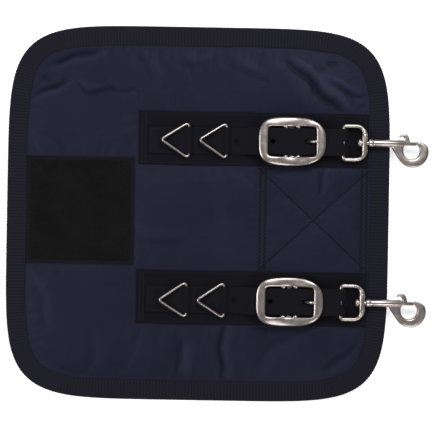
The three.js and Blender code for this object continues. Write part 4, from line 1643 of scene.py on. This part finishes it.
def makeBolt():
    x0, level = hook["start"], hook["level"]
    a, b, radius = bolt["shank"]
    profile = [
        (a, 0), (a, radius - 0.3), (a + 0.3, radius), (b - 0.6, radius), (b - 0.15, radius - 0.35),
        (b, radius - 0.8), (b, 0),
    ]
    shank = turnedPiece("bolt", [(x0 + x, reach) for x, reach in profile], level, 28)
    steps = bolt["stations"]
    line = [Vector((bolt["neck"] + x, y, half)) for x, y, half in bolt["thumb"]]
    path, _ = evenly(line, steps + 1, closed=False)

    def place(ring, turn):
        point, direction = path[ring]
        ahead = Vector((direction.x, direction.y)).normalized()
        left = Vector((-ahead.y, ahead.x))
        closed = roundedEnds(ring, steps, 2, 4)
        squareness = bolt["squareness"]
        spot = Vector((point.x, point.y)) + left * point.z * closed * power(math.cos(turn), squareness)
        thick = bolt["halfThickness"] * closed
        return (x0 + spot.x, spot.y, level + thick * power(math.sin(turn), squareness))

    thumb = tidyMesh(spindleFrom("thumb", steps, bolt["sides"], place), 60)
    combine(shank, [thumb])
    return tidyMesh(shank, 42)


placeInRows(makeBolt(), "bolt_casting", "nickel", "bolt", ["snap_bolt"])

spring = {
    "travel": 8.1,
    "from": 145.9,
    "to": 158.1,
    "coil": 1.5,
    "wire": 0.33,
    "turns": 5,
    "perTurn": 20,
    "sides": 8,
    "endFlatness": 0.06,
}


def makeSpring():
    count = spring["turns"] * spring["perTurn"]

    def place(ring, turn):
        share = clamp((ring - 1) / (count - 2))
        along = 2 * math.pi * spring["turns"] * share
        # The end turns lie nearly flat, as on a ground spring.
        flat = spring["endFlatness"] * math.sin(2 * math.pi * share)
        length = spring["to"] - spring["from"] - 2 * spring["wire"]
        x = spring["from"] + spring["wire"] + length * (share - flat)
        closed = 0 if ring in (0, count) else spring["wire"]
        reach = spring["coil"] + closed * math.cos(turn)
        return (x + closed * math.sin(turn), reach * math.cos(along), hook["level"] + reach * math.sin(along))

    return tidyMesh(spindleFrom("spring", count, spring["sides"], place), 80)


coils = placeInRows(makeSpring(), "spring_coil", "steel", "hook", ["bolt_spring"])
for (row, place), coil in zip(rows.items(), coils):
    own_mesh(coil)
print("snap hooks ready")


stitching = {
    "halfWidth": 0.30,
    "halfHeight": 0.20,
    "pitch": 3.0,
    "fill": 0.74,
    "patchPitch": 2.6,
    "patchInset": 1.7,
    "bindingSetBack": 16.2,
    "bindingLength": 1300,
    "crossZigzags": ((1.7, 1.7), (1.3, 1.5)),  # width and pitch of each
    "columnZigzag": (3.2, 1.7),
    "webbingInset": 2.2,
    "webbingPitch": 2.8,
    "webbingZigzag": (2.4, 1.8),
    "strapRuns": (-62.3, -33.5, -19.5, 1.5),
    "strapInset": 2.2,
    "strapPitches": (2.2, 2.4),  # across the strap and along it
    "proud": 0.03,
}


def runOf(start, end, pitch=None, level=5.8):
    # Stitches in a straight line: (start, end) pairs with gaps between them.
    pitch = pitch or stitching["pitch"]
    a, b = Vector((*start, level)), Vector((*end, level))
    count = max(1, round((b - a).length / pitch))
    step = (b - a) / count
    return [(a + step * n, a + step * (n + stitching["fill"])) for n in range(count)]


def zigzagOf(start, end, width, pitch, level):
    a, b = Vector((*start, level)), Vector((*end, level))
    count = max(2, round((b - a).length / pitch))
    step = (b - a) / count
    side = Vector((-step.y, step.x, 0)).normalized() * width / 2
    points = [a + step * n + side * (1 if n % 2 else -1) for n in range(count + 1)]
    return list(zip(points, points[1:]))


def makeStitches(name, body, pairs, thread="thread", scale=1.0):
    # One stitch is modelled, and its mesh is laid along every pair.
    bpy.ops.mesh.primitive_uv_sphere_add(segments=6, ring_count=4, radius=1, rotation=(0, math.pi / 2, 0))
    stitch = bpy.context.object
    bpy.ops.object.transform_apply(location=True, rotation=True, scale=True)
    shape = [vertex.co.copy() for vertex in stitch.data.vertices]
    skin = [tuple(face.vertices) for face in stitch.data.polygons]
    points, faces = [], []
    for a, b in pairs:
        middle, ahead = (a + b) / 2, b - a
        half = ahead.length / 2
        ahead = ahead.normalized()
        left = Vector((0, 0, 1)).cross(ahead).normalized()
        up = ahead.cross(left)
        base = len(points)
        for corner in shape:
            spot = middle + ahead * corner.x * half + left * corner.y * stitching["halfWidth"] * scale
            points.append((spot + up * corner.z * stitching["halfHeight"]) * mm)
        faces += [tuple(base + number for number in face) for face in skin]
    bpy.data.objects.remove(stitch)
    piece = meshPiece(name, points, faces)
    tidyMesh(piece, 80, 0.0000001)
    return finishPiece(piece, thread, body)


def patchStitches(patch, level):
    (x0, y0, _), (x1, y1, _) = patch["low"], patch["high"]
    inset, pitch = stitching["patchInset"], stitching["patchPitch"]
    corners = boxCorners(x0 + inset, y0 + inset, x1 - inset, y1 - inset)
    pairs = []
    for index, corner in enumerate(corners):
        pairs += runOf(corner, corners[(index + 1) % 4], pitch, level)
    pairs += runOf(corners[0], corners[2], pitch, level)
    return pairs + runOf(corners[1], corners[3], pitch, level)


def bindingStitches(level):
    setBack = stitching["bindingSetBack"]
    outline, _ = panelOutline(round(stitching["bindingLength"] / stitching["pitch"]))
    inner = []
    for point, direction in outline:
        out = Vector((direction.y, -direction.x))
        spot = point - out * setBack
        inner.append(Vector((spot.x + panel["centreX"], spot.y, level)))
    pairs = []
    for index, a in enumerate(inner):
        b = inner[(index + 1) % len(inner)]
        pairs.append((a, a + (b - a) * stitching["fill"]))
    return pairs


def boxStitches(level):
    box = stitchedBox
    corners = boxCorners(box["left"], box["bottom"], box["right"], box["top"])
    rising, falling = stitching["crossZigzags"]
    pairs = zigzagOf(corners[0], corners[2], *rising, level)
    pairs += zigzagOf(corners[1], corners[3], *falling, level)
    for offset in box["columns"]:
        for side in (-box["columnHalfGap"], box["columnHalfGap"]):
            x = box["left"] + offset + side
            pairs += zigzagOf((x, box["bottom"]), (x, box["top"]), *stitching["columnZigzag"], level)
    return pairs


makeStitches("binding_stitches", "panel", bindingStitches(5.42) + bindingStitches(0.12))
makeStitches("face_stitches", "panel", boxStitches(4.55), "darkThread", 2.2)
hookPairs = patchStitches(frontPatch, 5.72)
makeStitches("hook_patch_stitches", "panel", hookPairs, "darkThread", 2.0)
makeStitches("loop_patch_stitches", "panel", patchStitches(backPatch, 0.34))

for row, place in rows.items():
    y = place["webbingY"]
    level = wideWebbing["bottom"] + wideWebbing["thickness"] + stitching["proud"]
    left, right = wideWebbing["left"], wideWebbing["right"]
    half = wideWebbing["halfWidth"] - stitching["webbingInset"]
    pairs = []
    for edge in (y + half, y - half):
        pairs += runOf((left + 2, edge), (right - 1, edge), stitching["webbingPitch"], level)
    for x in (left + 3.2, left + 6.4, right - 3):
        pairs += zigzagOf((x, y - half), (x, y + half), *stitching["webbingZigzag"], level)
    makeStitches(f"{row}_webbing_stitches", "panel", pairs)

    y = place["strapY"]
    level = strap["low"] + strap["thickness"] / 2 + stitching["proud"]
    half = strap["halfWidth"] - stitching["strapInset"]
    acrossPitch, alongPitch = stitching["strapPitches"]
    pairs = []
    for x in stitching["strapRuns"]:
        pairs += runOf((x, y - half), (x, y + half), acrossPitch, level)
    start, end = stitching["strapRuns"][:2]
    for edge in (y - half, y + half):
        pairs += runOf((start, edge), (end, edge), alongPitch, level)
    makeStitches(f"{row}_strap_stitches", "panel", pairs)
print("stitching ready")
